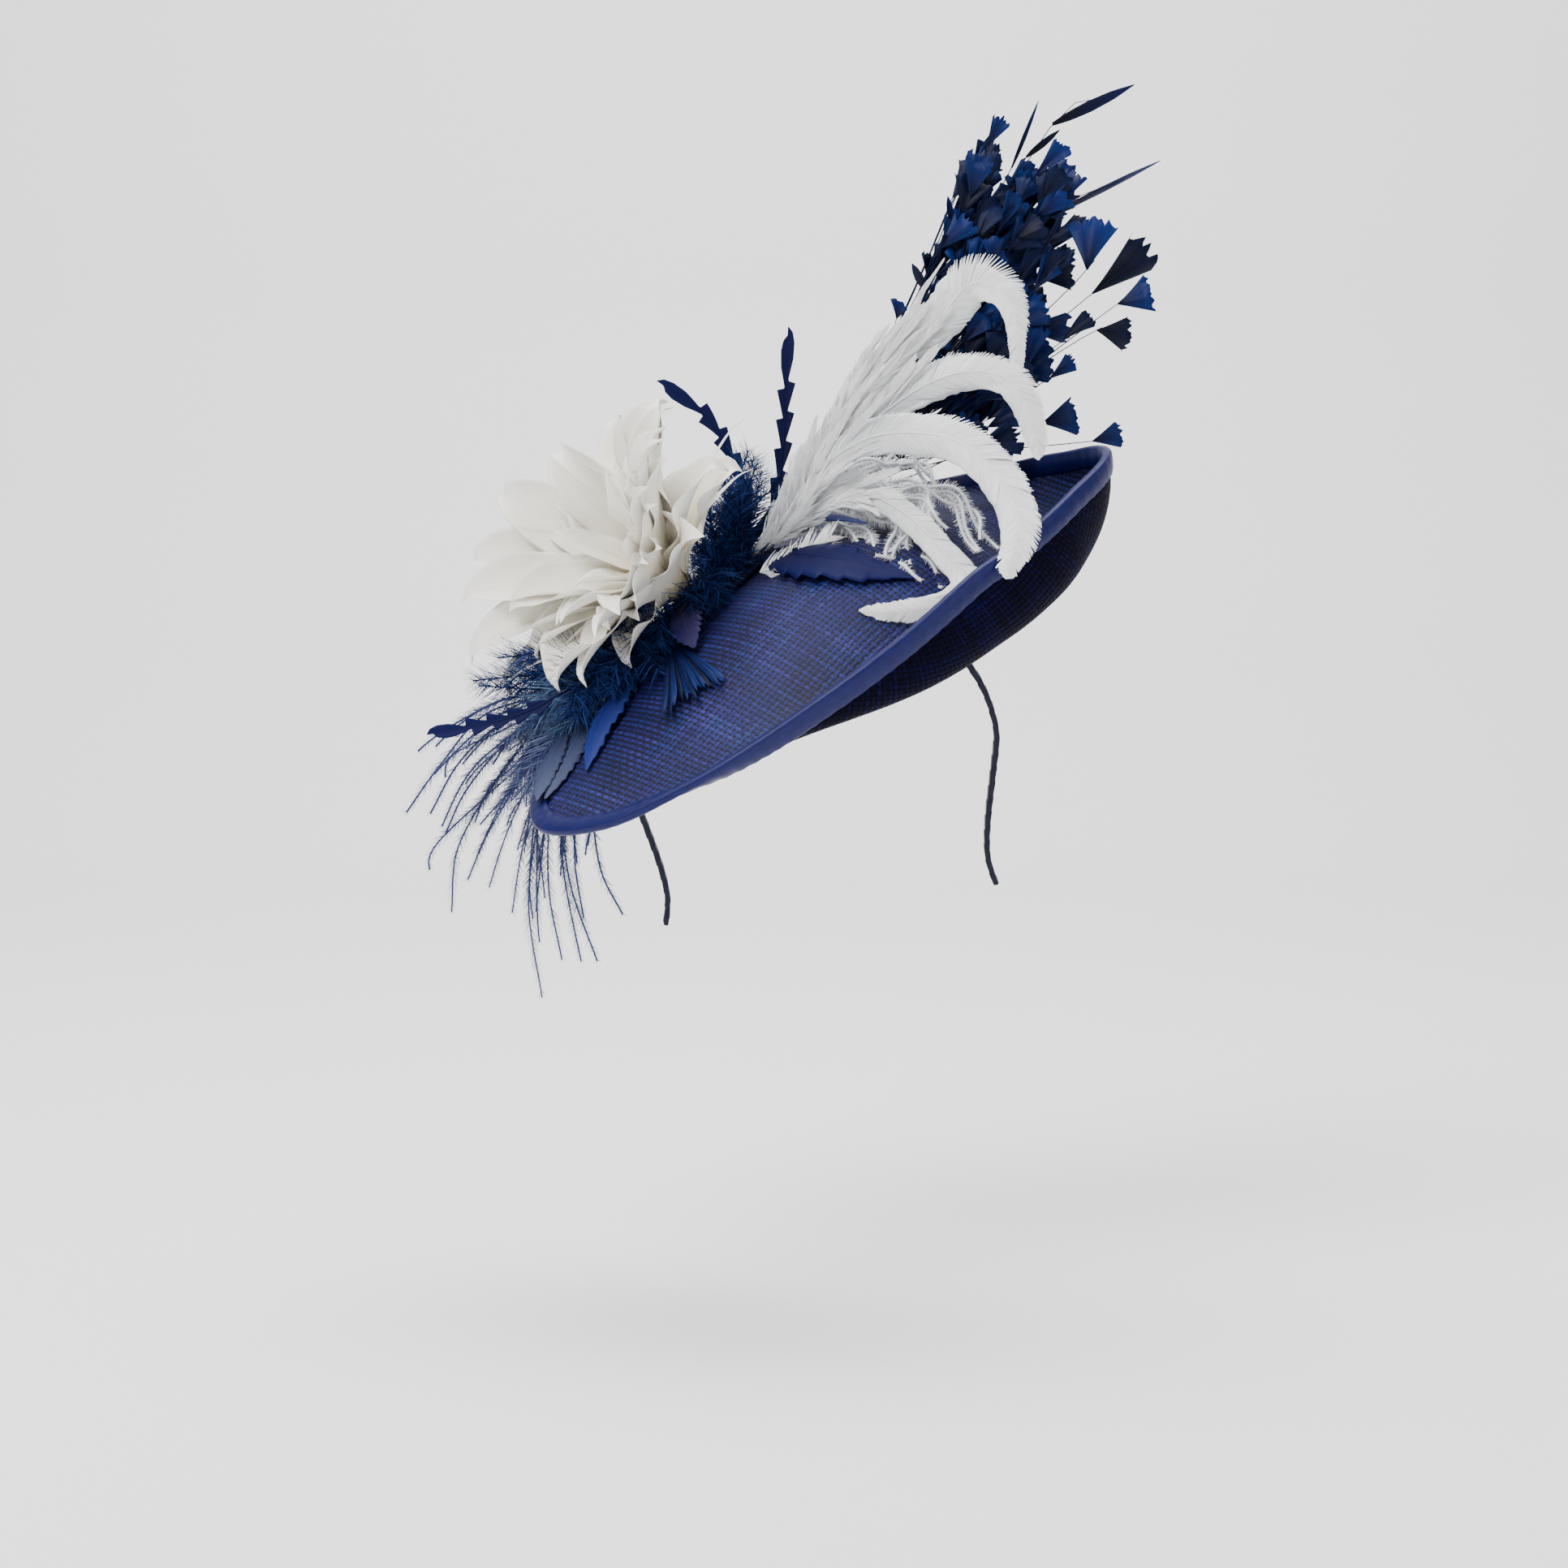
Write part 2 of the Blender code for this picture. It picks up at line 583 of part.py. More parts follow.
def band_lines():
    """Return the band's whole inner and outer lines as (across, down) pairs, left end first."""
    half = band_half_outline()
    inner = [(-a, d) for a, d in reversed(half[1:])] + half
    outer = []
    last = len(inner) - 1
    for i, (a, d) in enumerate(inner):
        before = inner[max(i - 1, 0)]
        after = inner[min(i + 1, last)]
        run = Vector((after[0] - before[0], after[1] - before[1])).normalized()
        outer.append((a + run.y * BAND_THICK, d - run.x * BAND_THICK))
    return inner, outer


def make_headband():
    """Make the headband as a filled outline, extruded to its width, with eased edges."""
    inner, outer = band_lines()
    curve = bpy.data.curves.new("headband", "CURVE")
    curve.dimensions = "2D"
    curve.fill_mode = "BOTH"
    curve.extrude = 0.5 * BAND_WIDTH
    spline = curve.splines.new("POLY")
    outline = inner + list(reversed(outer))
    spline.points.add(len(outline) - 1)
    for point, (a, d) in zip(spline.points, outline):
        point.co = (a, -d, 0.0, 1.0)
    spline.use_cyclic_u = True
    obj = add_object("headband", curve, "band_ribbon")
    right, down = band_axes()[:2]
    obj.matrix_world = Matrix((right, -down, right.cross(-down))).transposed().to_4x4()
    weld = obj.modifiers.new("weld", "WELD")
    weld.merge_threshold = 0.00001
    bevel = obj.modifiers.new("edge", "BEVEL")
    bevel.width = BAND_EDGE
    bevel.segments = 1
    bevel.angle_limit = math.radians(50.0)
    return obj


# Saucer

def saucer_axes():
    """Return the saucer's axes: along its length, across it and up through its floor."""
    roll = math.radians(SAUCER_ROLL)
    tilt = math.radians(SAUCER_TILT)
    yaw = math.radians(SAUCER_YAW)
    u = Vector((math.cos(roll), -math.sin(roll) * math.sin(tilt), math.sin(roll) * math.cos(tilt)))
    v = Vector((0.0, math.cos(tilt), math.sin(tilt)))
    along = math.cos(yaw) * u + math.sin(yaw) * v
    across = math.cos(yaw) * v - math.sin(yaw) * u
    return along, across, along.cross(across)


def profile(bearing):
    """Return the underside's section at a bearing as (reach, rise) pairs from centre to rim."""
    reach, fall, rim_reach, rim_rise = (
        around(SAUCER_SECTIONS, bearing, column) * SAUCER_HALF_LENGTH for column in (1, 2, 3, 4))
    start = DOME_SHARE * reach
    bend = -fall / (start * start + 2.0 * start * (reach - start))
    line = [(start * i / DOME_RINGS, -bend * (start * i / DOME_RINGS) ** 2) for i in range(DOME_RINGS + 1)]
    a = Vector(line[-1])
    b = Vector((reach, fall))
    c = Vector((rim_reach, rim_rise))
    turn = [(1 - t) ** 2 * a + 2 * t * (1 - t) * b + t * t * c for t in even(TURN_STEPS)]
    lengths = [0.0]
    for low, high in zip(turn, turn[1:]):
        lengths.append(lengths[-1] + (high - low).length)
    total = lengths[-1]
    table = [(lengths[i] / total, turn[i].x, turn[i].y) for i in range(len(turn))]
    hem = max(1.0 - BINDING_WIDTH / total, TURN_LEAST_HEM)
    for k in range(1, TURN_RINGS + 1):
        share = hem * k / TURN_RINGS
        line.append((interpolate(table, share, 1), interpolate(table, share, 2)))
    line.append((c.x, c.y))
    return line


def bearings():
    """Return the saucer's bearings, starting at its tip."""
    return [SAUCER_TIP_BEARING + 360.0 * i / SAUCER_BEARINGS for i in range(SAUCER_BEARINGS)]


def floor_rise(a, b):
    """Return the underside's rise over the saucer's centre at (along, across) from it."""
    reach = math.hypot(a, b)
    line = profile(math.degrees(math.atan2(b, a)))
    return interpolate(line, reach)


@lru_cache(maxsize=None)
def saucer_centre():
    """Return the saucer's centre: raised along its axis until the floor clears the headband."""
    along, across, up = saucer_axes()
    base = Vector((SAUCER_SHIFT[0], SAUCER_SHIFT[1], 0.0))
    right, down, forward = band_axes()
    outer = band_lines()[1]
    lift = -SAUCER_HALF_LENGTH
    for low, high in zip(outer, outer[1:]):
        for step in range(4):
            a = low[0] + (high[0] - low[0]) * step / 4
            d = low[1] + (high[1] - low[1]) * step / 4
            if d > 0.5 * BAND_CROWN_DEPTH:
                continue
            for side in (-0.5, 0.0, 0.5):
                point = right * a + down * d + forward * (side * BAND_WIDTH) - base
                rise = floor_rise(point.dot(along), point.dot(across))
                lift = max(lift, point.dot(up) - rise)
    return base + up * (lift + SEAT_GAP)


def on_saucer(a, b, lift):
    """Return the point at a lift over the saucer's top face; a and b are shares of its half length."""
    along, across, up = saucer_axes()
    a = a * SAUCER_HALF_LENGTH
    b = b * SAUCER_HALF_LENGTH
    step = FLOOR_STEP
    rise = floor_rise(a, b)
    slope_a = (floor_rise(a + step, b) - floor_rise(a - step, b)) / (2 * step)
    slope_b = (floor_rise(a, b + step) - floor_rise(a, b - step)) / (2 * step)
    normal = (up - along * slope_a - across * slope_b).normalized()
    return saucer_centre() + along * a + across * b + up * rise + normal * (SAUCER_THICK + lift)


def make_saucer():
    """Make the saucer: its underside as rings round the centre, thickened upward."""
    along, across, up = saucer_axes()
    centre = saucer_centre()
    vertices = [centre]
    faces = []
    count = SAUCER_BEARINGS
    rings = DOME_RINGS + TURN_RINGS + 1
    for bearing in bearings():
        angle = math.radians(bearing)
        way = along * math.cos(angle) + across * math.sin(angle)
        vertices.extend(centre + way * reach + up * rise for reach, rise in profile(bearing)[1:])
    for i in range(count):
        here = 1 + i * rings
        after = 1 + (i + 1) % count * rings
        faces.append((0, here, after))
        for k in range(rings - 1):
            faces.append((here + k, here + k + 1, after + k + 1))
            faces.append((here + k, after + k + 1, after + k))
    obj = mesh_object("sinamay_saucer", vertices, faces, "sinamay")
    solidify(obj, SAUCER_THICK, 1.0)
    return obj


def hem_frames():
    """Return the hem's rim point, outward run and upper normal at each bearing."""
    along, across, up = saucer_axes()
    centre = saucer_centre()
    pairs = []
    for bearing in bearings():
        angle = math.radians(bearing)
        way = along * math.cos(angle) + across * math.sin(angle)
        pairs.append([centre + way * reach + up * rise for reach, rise in profile(bearing)[-2:]])
    frames = []
    count = len(pairs)
    for i, (before, rim) in enumerate(pairs):
        run = (rim - before).normalized()
        follow = pairs[(i + 1) % count][1] - pairs[i - 1][1]
        frames.append((rim, run, run.cross(follow).normalized()))
    return frames


def make_binding():
    """Make the rim's ribbon: a folded strip round both faces of the hem, thickened outward."""
    vertices = []
    faces = []
    reach_in = BINDING_WIDTH * BINDING_COVER
    for rim, run, normal in hem_frames():
        over = normal * (SAUCER_THICK + RIBBON_GAP)
        under = normal * -RIBBON_GAP
        edge = run * RIBBON_GAP
        vertices.append(rim - run * reach_in + under)
        vertices.append(rim + edge + under)
        vertices.append(rim + edge + run * BINDING_CROWN + normal * (0.5 * SAUCER_THICK))
        vertices.append(rim + edge + over)
        vertices.append(rim - run * reach_in + over)
    count = SAUCER_BEARINGS
    for i in range(count):
        here = i * 5
        after = (i + 1) % count * 5
        for k in (0, 1):
            faces.append((here + k, here + k + 1, after + k + 1))
            faces.append((here + k, after + k + 1, after + k))
        for k in (2, 3):
            faces.append((here + k, here + k + 1, after + k))
            faces.append((here + k + 1, after + k + 1, after + k))
    obj = mesh_object("brim_binding", vertices, faces, "satin")
    solidify(obj, BINDING_THICK, -1.0)
    return obj


# Spray mount

def pad_place(u, v):
    """Return the saucer shares of the place at shares u along and v across the spray mount."""
    turn = math.radians(PAD_TURN)
    length = PAD_LENGTH / SAUCER_HALF_LENGTH
    width = PAD_WIDTH / SAUCER_HALF_LENGTH
    a = PAD_PLACE[0] + u * length * math.cos(turn) - v * width * math.sin(turn)
    b = PAD_PLACE[1] + u * length * math.sin(turn) + v * width * math.cos(turn)
    return a, b


def on_pad(u, v, lift):
    """Return the point at a lift over the spray mount's top face."""
    a, b = pad_place(u, v)
    return on_saucer(a, b, PAD_GAP + PAD_THICK + lift)


def pad_normal(u, v):
    """Return the direction away from the spray mount's top face."""
    return (on_pad(u, v, PAD_THICK) - on_pad(u, v, 0.0)).normalized()


def make_spray_mount():
    """Make the spray mount: a strip with round ends that follows the saucer's top face."""
    vertices = []
    faces = []
    rows = PAD_STEPS + 1
    for i in range(rows):
        u = i / PAD_STEPS - 0.5
        half = 0.5 * math.sqrt(max(1.0 - (2.0 * u) ** PAD_ROUNDING, PAD_END_SHARE))
        for side in (-1.0, 0.0, 1.0):
            a, b = pad_place(u, side * half)
            vertices.append(on_saucer(a, b, PAD_GAP))
    for i in range(rows - 1):
        for k in range(2):
            low = i * 3 + k
            faces.append((low, low + 3, low + 4, low + 1))
    obj = mesh_object("spray_mount", vertices, faces, "backing")
    solidify(obj, PAD_THICK, 1.0)
    return obj


def make_flower_core():
    """Make the flower's core: a tapered peg that stands on the collar's backing."""
    u, v = CORE_PLACE
    way = Vector(CORE_TURN).normalized()
    tip_down = CORE_FOOT_SHARE * CORE_FOOT_RADIUS * way.cross(pad_normal(u, v)).length
    foot = on_pad(u, v, 2.0 * SEAT_GAP + COLLAR_THICK + tip_down - COLLAR_FALL)
    side = way.cross(Vector((0.0, 0.0, 1.0))).normalized()
    other = way.cross(side)
    loops = []
    sections = ((0.0, CORE_FOOT_SHARE * CORE_FOOT_RADIUS), (0.15, CORE_FOOT_RADIUS),
                (0.5, 0.5 * (CORE_FOOT_RADIUS + CORE_HEAD_RADIUS)), (0.9, CORE_HEAD_RADIUS),
                (1.0, 0.5 * CORE_HEAD_RADIUS))
    for share, radius in sections:
        centre = foot + way * (CORE_LENGTH * share)
        ring = []
        for k in range(CORE_SIDES):
            angle = 2.0 * math.pi * k / CORE_SIDES
            ring.append(centre + side * (radius * math.cos(angle)) + other * (radius * math.sin(angle)))
        loops.append(ring)
    loft("flower_core", loops, "ivory")
    return foot, foot + way * CORE_LENGTH


def make_petals(foot, head):
    """Make the petals: cupped blades rooted round the core that bend away from its axis."""
    axis = Vector(FLOWER_AXIS).normalized()
    up = (Vector((0.0, 0.0, 1.0)) - axis * axis.z).normalized()
    side = axis.cross(up)
    core = (head - foot).normalized()
    shares = [row[0] for row in PETAL_OUTLINE]
    for number, (turn, opening, long_share, wide_share, down_share) in enumerate(PETALS, 1):
        angle = math.radians(turn)
        out = up * math.cos(angle) + side * math.sin(angle)
        radial = (out - core * out.dot(core)).normalized()
        radius = CORE_HEAD_RADIUS + (CORE_FOOT_RADIUS - CORE_HEAD_RADIUS) * down_share
        length = PETAL_LENGTH * long_share
        half_width = PETAL_HALF_WIDTH * wide_share
        lean = math.radians(opening * PETAL_BEND[0][1])
        run = axis * math.cos(lean) + out * math.sin(lean)
        stand_off = seat_offset(run, axis, radial, PETAL_OUTLINE[0][1] * half_width, PETAL_THICK)
        root = head - core * (CORE_LENGTH * down_share) + radial * (radius + stand_off)
        points = [root]
        for run_share, lean in PETAL_BEND:
            tilt = math.radians(opening * lean)
            run = axis * math.cos(tilt) + out * math.sin(tilt)
            points.append(points[-1] + run * (length * run_share))
        blade("petal_%02d" % number, points, axis, PETAL_OUTLINE, half_width, PETAL_THICK, "ivory",
              shares, PETAL_CUP, 4)


def arrow_outline():
    """Return a notched outline: each notch widens toward the tip and steps back to the waist."""
    rows = [(0.0, ARROW_QUILL), (ARROW_BARE_SHARE, ARROW_QUILL)]
    span = 1.0 - ARROW_BARE_SHARE
    for i in range(ARROW_NOTCHES):
        start = ARROW_BARE_SHARE + span * i / ARROW_NOTCHES
        end = ARROW_BARE_SHARE + span * (i + ARROW_BARB) / ARROW_NOTCHES
        rows.append((start + ARROW_STEP, ARROW_WAIST))
        rows.append((end, 1.0))
        rows.append((end + ARROW_STEP, ARROW_WAIST))
    rows.append((1.0, ARROW_TIP))
    return tuple(rows)


def make_standing_feathers():
    """Make the feathers that stand on the spray mount."""
    for name, slot, (u, v), facing, kind, half_width, shaft in STANDING:
        if kind == "arrow":
            outline = arrow_outline()
            shares = [row[0] for row in outline]
        else:
            outline = OUTLINES[kind]
            shares = even(13) if kind == "coque" else even(7)
        quill = max(outline[0][1] * half_width, VANE_LEAST_HALF)
        run = Vector(shaft[0]).normalized()
        root = on_pad(u, v, seat_offset(run, facing, pad_normal(u, v), quill, VANE_THICK))
        points = [root] + [root + Vector(p) * SPRAY_REACH for p in shaft]
        blade(name, points, facing, outline, half_width, VANE_THICK, slot, shares)


def make_lying_feathers():
    """Make the feathers that lie over the saucer's floor."""
    up = saucer_axes()[2]
    for name, slot, half_width, shaft in LYING:
        outline = OUTLINES["fan" if "fan" in name else "leaf"]
        points = [on_saucer(a, b, lift) for a, b, lift in shaft]
        blade(name, points, up, outline, half_width, VANE_THICK, slot, even(7))


def knob(name, centre, radius):
    """Make the small ball that a spray's stems grow from."""
    bpy.ops.mesh.primitive_ico_sphere_add(subdivisions=1, radius=radius, location=centre)
    ball = bpy.context.active_object
    ball.name = name
    return ball


def strand_start(root, radius, number):
    """Return where a numbered strand starts, inside the knob that all of them grow from."""
    angle = GOLDEN_ANGLE * number
    way = Vector((math.cos(angle), STRAND_START_SPREAD * math.sin(2.0 * angle), math.sin(angle)))
    return root + way * (STRAND_START_SHARE * radius)


def strand_facing(number):
    """Return the way a numbered strand faces: forward, turned a little to either side."""
    turn = STRAND_TURN[0] * math.sin(STRAND_TURN[1] * number)
    nod = STRAND_NOD[0] * math.cos(STRAND_NOD[1] * number)
    return turn, -1.0, nod


def spray_strand(points, facing, half_widths, shares):
    """Make one strand of a spray as a loose closed solid, to be joined to the rest."""
    path = smooth_path(points, shares)
    return loft("strand", blade_loops(path, facing, half_widths, VANE_THICK), "navy_feather")


def make_fan_spray():
    """Make the fan spray: a wrapped trunk, and thin stems from it that end in trimmed fans."""
    u, v = FAN_ROOT
    root = on_pad(u, v, SEAT_GAP + KNOB_FLAT_SHARE * FAN_KNOB_RADIUS)
    crown = root + Vector(FAN_TRUNK) * SPRAY_REACH
    rings = blade_loops([root, root.lerp(crown, 0.5), crown], (0.0, -1.0, 0.0),
                        [FAN_TRUNK_RADIUS * taper for taper in (1.0, 1.0, FAN_TRUNK_TAPER)],
                        2.0 * FAN_TRUNK_RADIUS)
    low, high = FAN_STEM_SPAN
    solids = [knob("fan_knob", root, FAN_KNOB_RADIUS), loft("trunk", rings, "navy_feather")]
    for number, (x, z, wide_x, wide_z, half, depth) in enumerate(FANS):
        start = root + Vector((x, depth, z)) * SPRAY_REACH
        end = root + Vector((wide_x, depth, wide_z)) * SPRAY_REACH
        foot = root.lerp(crown, low + (high - low) * (GOLDEN_SHARE * number % 1.0))
        bend = foot.lerp(start, 0.5) + Vector((0.0, FAN_BEND, 0.0)) * SPRAY_REACH
        path = [foot, bend, start, end]
        halves = [STEM_HALF_WIDTH] * 3 + [half * SPRAY_REACH]
        loops = blade_loops(path, strand_facing(number), halves, VANE_THICK)
        solids.append(loft("fan", loops, "navy_feather"))
    return fuse("navy_fan_spray", solids, "navy_feather")


def make_curls():
    """Make the curled white plume: flat locks from one knob."""
    u, v = CURL_ROOT
    root = on_pad(u, v, SEAT_GAP + KNOB_FLAT_SHARE * CURL_KNOB_RADIUS)
    solids = [knob("curl_knob", root, CURL_KNOB_RADIUS)]
    shares = (0.0, 0.2, 0.4, 0.6, 0.8, 1.0)
    halves = [interpolate(OUTLINES["frond"], s) * CURL_HALF_WIDTH for s in shares]
    for number, lock in enumerate(CURLS):
        foot = strand_start(root, CURL_KNOB_RADIUS, number)
        points = [foot] + [root + Vector(p) * SPRAY_REACH for p in lock]
        solids.append(spray_strand(points, strand_facing(number), halves, shares))
    return fuse("white_ostrich_curls", solids, "white_feather")


def make_ostrich_spray():
    """Make the drooping plume: flat fronds from one knob."""
    u, v = OSTRICH_ROOT
    root = on_pad(u, v, SEAT_GAP + KNOB_FLAT_SHARE * OSTRICH_KNOB_RADIUS)
    solids = [knob("ostrich_knob", root, OSTRICH_KNOB_RADIUS)]
    shares = (0.0, 0.2, 0.45, 0.75, 1.0)
    halves = [interpolate(OUTLINES["frond"], s) * FROND_HALF_WIDTH for s in shares]
    for number, frond in enumerate(FRONDS):
        foot = strand_start(root, OSTRICH_KNOB_RADIUS, number)
        points = [foot] + [root + Vector(p) * SPRAY_REACH for p in frond]
        solids.append(spray_strand(points, strand_facing(number), halves, shares))
    return fuse("navy_ostrich_spray", solids, "navy_feather")


def make_collar():
    """Make the marabou collar: tapered locks joined to a backing strip on the spray mount."""
    low, high = COLLAR_SPAN
    lift = SEAT_GAP + 0.5 * COLLAR_THICK
    spine = [on_pad(low + (high - low) * i / 6, COLLAR_ACROSS, lift) for i in range(7)]
    halves = [COLLAR_HALF_WIDTH] * 7
    up = pad_normal(0.0, COLLAR_ACROSS)
    backing = loft("backing", blade_loops(spine, up, halves, COLLAR_THICK), "backing")
    solids = [backing]
    for along, x, y, z in LOCKS:
        root = on_pad(along, COLLAR_ACROSS, lift)
        tip = root + Vector((x, y, z)) * SPRAY_REACH
        middle = 0.5 * (root + tip) + up * LOCK_ARCH
        way = (tip - root).normalized()
        side = way.cross(Vector(LOCK_SIDE)).normalized()
        other = way.cross(side)
        path = smooth_path([root, middle, tip], [row[0] for row in LOCK_SECTIONS])
        loops = []
        for centre, (_, radius_share) in zip(path, LOCK_SECTIONS):
            radius = LOCK_RADIUS * radius_share
            corners = [0.5 * math.pi * k + LOCK_CORNER for k in range(4)]
            loops.append([centre + side * (radius * math.cos(corner)) + other * (radius * math.sin(corner))
                          for corner in corners])
        solids.append(loft("lock", loops, "backing"))
    return fuse("marabou_collar", solids, "backing")


def main():
    """Build the hat."""
    clear_scene()
    make_headband()
    make_saucer()
    make_binding()
    make_spray_mount()
    make_collar()
    foot, head = make_flower_core()
    make_petals(foot, head)
    make_standing_feathers()
    make_lying_feathers()
    make_fan_spray()
    make_curls()
    make_ostrich_spray()


main()
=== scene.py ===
"""Dress a feathered fascinator hat: a woven saucer on a headband, with a flower and feather sprays.

Lengths are in metres in the hat's own frame: +Z is up, +X the wearer's left and -Y the wearer's
front. The origin is the underside of the headband at its top.
"""
from __future__ import annotations

import logging
import math
from dataclasses import dataclass
from enum import Enum
from functools import partial
from typing import NamedTuple, Sequence

import bpy
import numpy as np
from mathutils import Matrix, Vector


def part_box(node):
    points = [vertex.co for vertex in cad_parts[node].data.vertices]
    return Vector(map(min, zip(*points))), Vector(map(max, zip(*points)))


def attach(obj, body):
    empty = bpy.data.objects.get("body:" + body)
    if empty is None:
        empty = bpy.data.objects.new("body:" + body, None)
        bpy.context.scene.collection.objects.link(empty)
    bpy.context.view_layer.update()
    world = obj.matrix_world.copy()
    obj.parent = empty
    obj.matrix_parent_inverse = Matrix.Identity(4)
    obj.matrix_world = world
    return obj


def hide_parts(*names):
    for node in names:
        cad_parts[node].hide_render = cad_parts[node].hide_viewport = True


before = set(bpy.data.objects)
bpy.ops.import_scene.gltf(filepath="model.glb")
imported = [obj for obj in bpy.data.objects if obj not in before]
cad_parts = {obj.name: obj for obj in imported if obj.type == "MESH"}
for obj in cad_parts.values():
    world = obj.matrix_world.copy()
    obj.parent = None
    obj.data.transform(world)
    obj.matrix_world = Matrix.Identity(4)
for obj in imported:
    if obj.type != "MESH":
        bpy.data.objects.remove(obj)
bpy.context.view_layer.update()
LOG = logging.getLogger("fascinator")
ROOT_BODY = "root"
GOLDEN_SHARE = 0.5 * (math.sqrt(5.0) - 1.0)

Point = tuple[float, float, float]
Table = Sequence[tuple[float, float]]


# Colour and nodes

def linear(code: str) -> tuple[float, float, float, float]:
    """Turn an sRGB hex colour into linear values.

    Args:
        code: The colour as #RRGGBB.

    Returns:
        Linear red, green and blue, and an alpha of 1.
    """
    values = (int(code[i:i + 2], 16) / 255.0 for i in (1, 3, 5))
    red, green, blue = (v / 12.92 if v <= 0.04045 else ((v + 0.055) / 1.055) ** 2.4 for v in values)
    return red, green, blue, 1.0


def add_node(tree: bpy.types.NodeTree, kind: str, inputs: dict | None = None, **settings) -> bpy.types.Node:
    """Add a node to a tree, with its settings and links.

    Args:
        tree: The tree that gets the node.
        kind: The node's type name.
        inputs: Input name or number to a socket, which is linked, or to a value, which is set.
        **settings: The node's own properties.

    Returns:
        The new node.
    """
    node = tree.nodes.new(kind)
    for name, value in settings.items():
        setattr(node, name, value)
    for key, value in (inputs or {}).items():
        if isinstance(value, bpy.types.NodeSocket):
            tree.links.new(value, node.inputs[key])
        else:
            node.inputs[key].default_value = value
    return node


def set_ramp(node: bpy.types.Node, stops: Sequence[tuple[float, str]]) -> bpy.types.NodeSocket:
    """Fill a colour ramp with stops.

    Args:
        node: The colour ramp.
        stops: Places from 0 to 1 with their hex colours.

    Returns:
        The ramp's colour output.
    """
    elements = node.color_ramp.elements
    while len(elements) < len(stops):
        elements.new(1.0)
    for element, (place, code) in zip(elements, stops):
        element.position = place
        element.color = linear(code)
    return node.outputs["Color"]


# Finishes

@dataclass(frozen=True)
class Finish:
    """What every finish has: a name, and the constants of its surface."""

    name: str
    roughness: float
    sheen: float = 0.0
    specular: float = 0.5
    translucence: float = 0.0
    depth: float = 0.002

    def begin(self) -> tuple[bpy.types.Material, bpy.types.NodeTree, bpy.types.Node]:
        """Make the material with its constants on the shader's own sockets.

        Returns:
            The material, its node tree and its shader.
        """
        material = bpy.data.materials.new(self.name)
        material.use_nodes = True
        tree = material.node_tree
        shader = tree.nodes["Principled BSDF"]
        shader.inputs["Roughness"].default_value = self.roughness
        shader.inputs["Sheen Weight"].default_value = self.sheen
        shader.inputs["Specular IOR Level"].default_value = self.specular
        shader.inputs["Subsurface Weight"].default_value = self.translucence
        shader.inputs["Subsurface Scale"].default_value = self.depth
        shader.inputs["Subsurface Radius"].default_value = (1.0, 1.0, 1.0)
        return material, tree, shader

    @staticmethod
    def dress(tree: bpy.types.NodeTree, shader: bpy.types.Node, colour: bpy.types.NodeSocket,
              height: bpy.types.NodeSocket, relief: float, strength: float = 1.0) -> None:
        """Join a colour and a relief to the shader.

        Args:
            tree: The material's node tree.
            shader: Its shader.
            colour: The colour's socket.
            height: The height's socket, from 0 to 1.
            relief: Metres from the lowest to the highest.
            strength: How much of the relief shows.
        """
        bump = add_node(tree, "ShaderNodeBump", {"Height": height, "Distance": relief, "Strength": strength})
        tree.links.new(colour, shader.inputs["Base Color"])
        tree.links.new(bump.outputs[0], shader.inputs["Normal"])


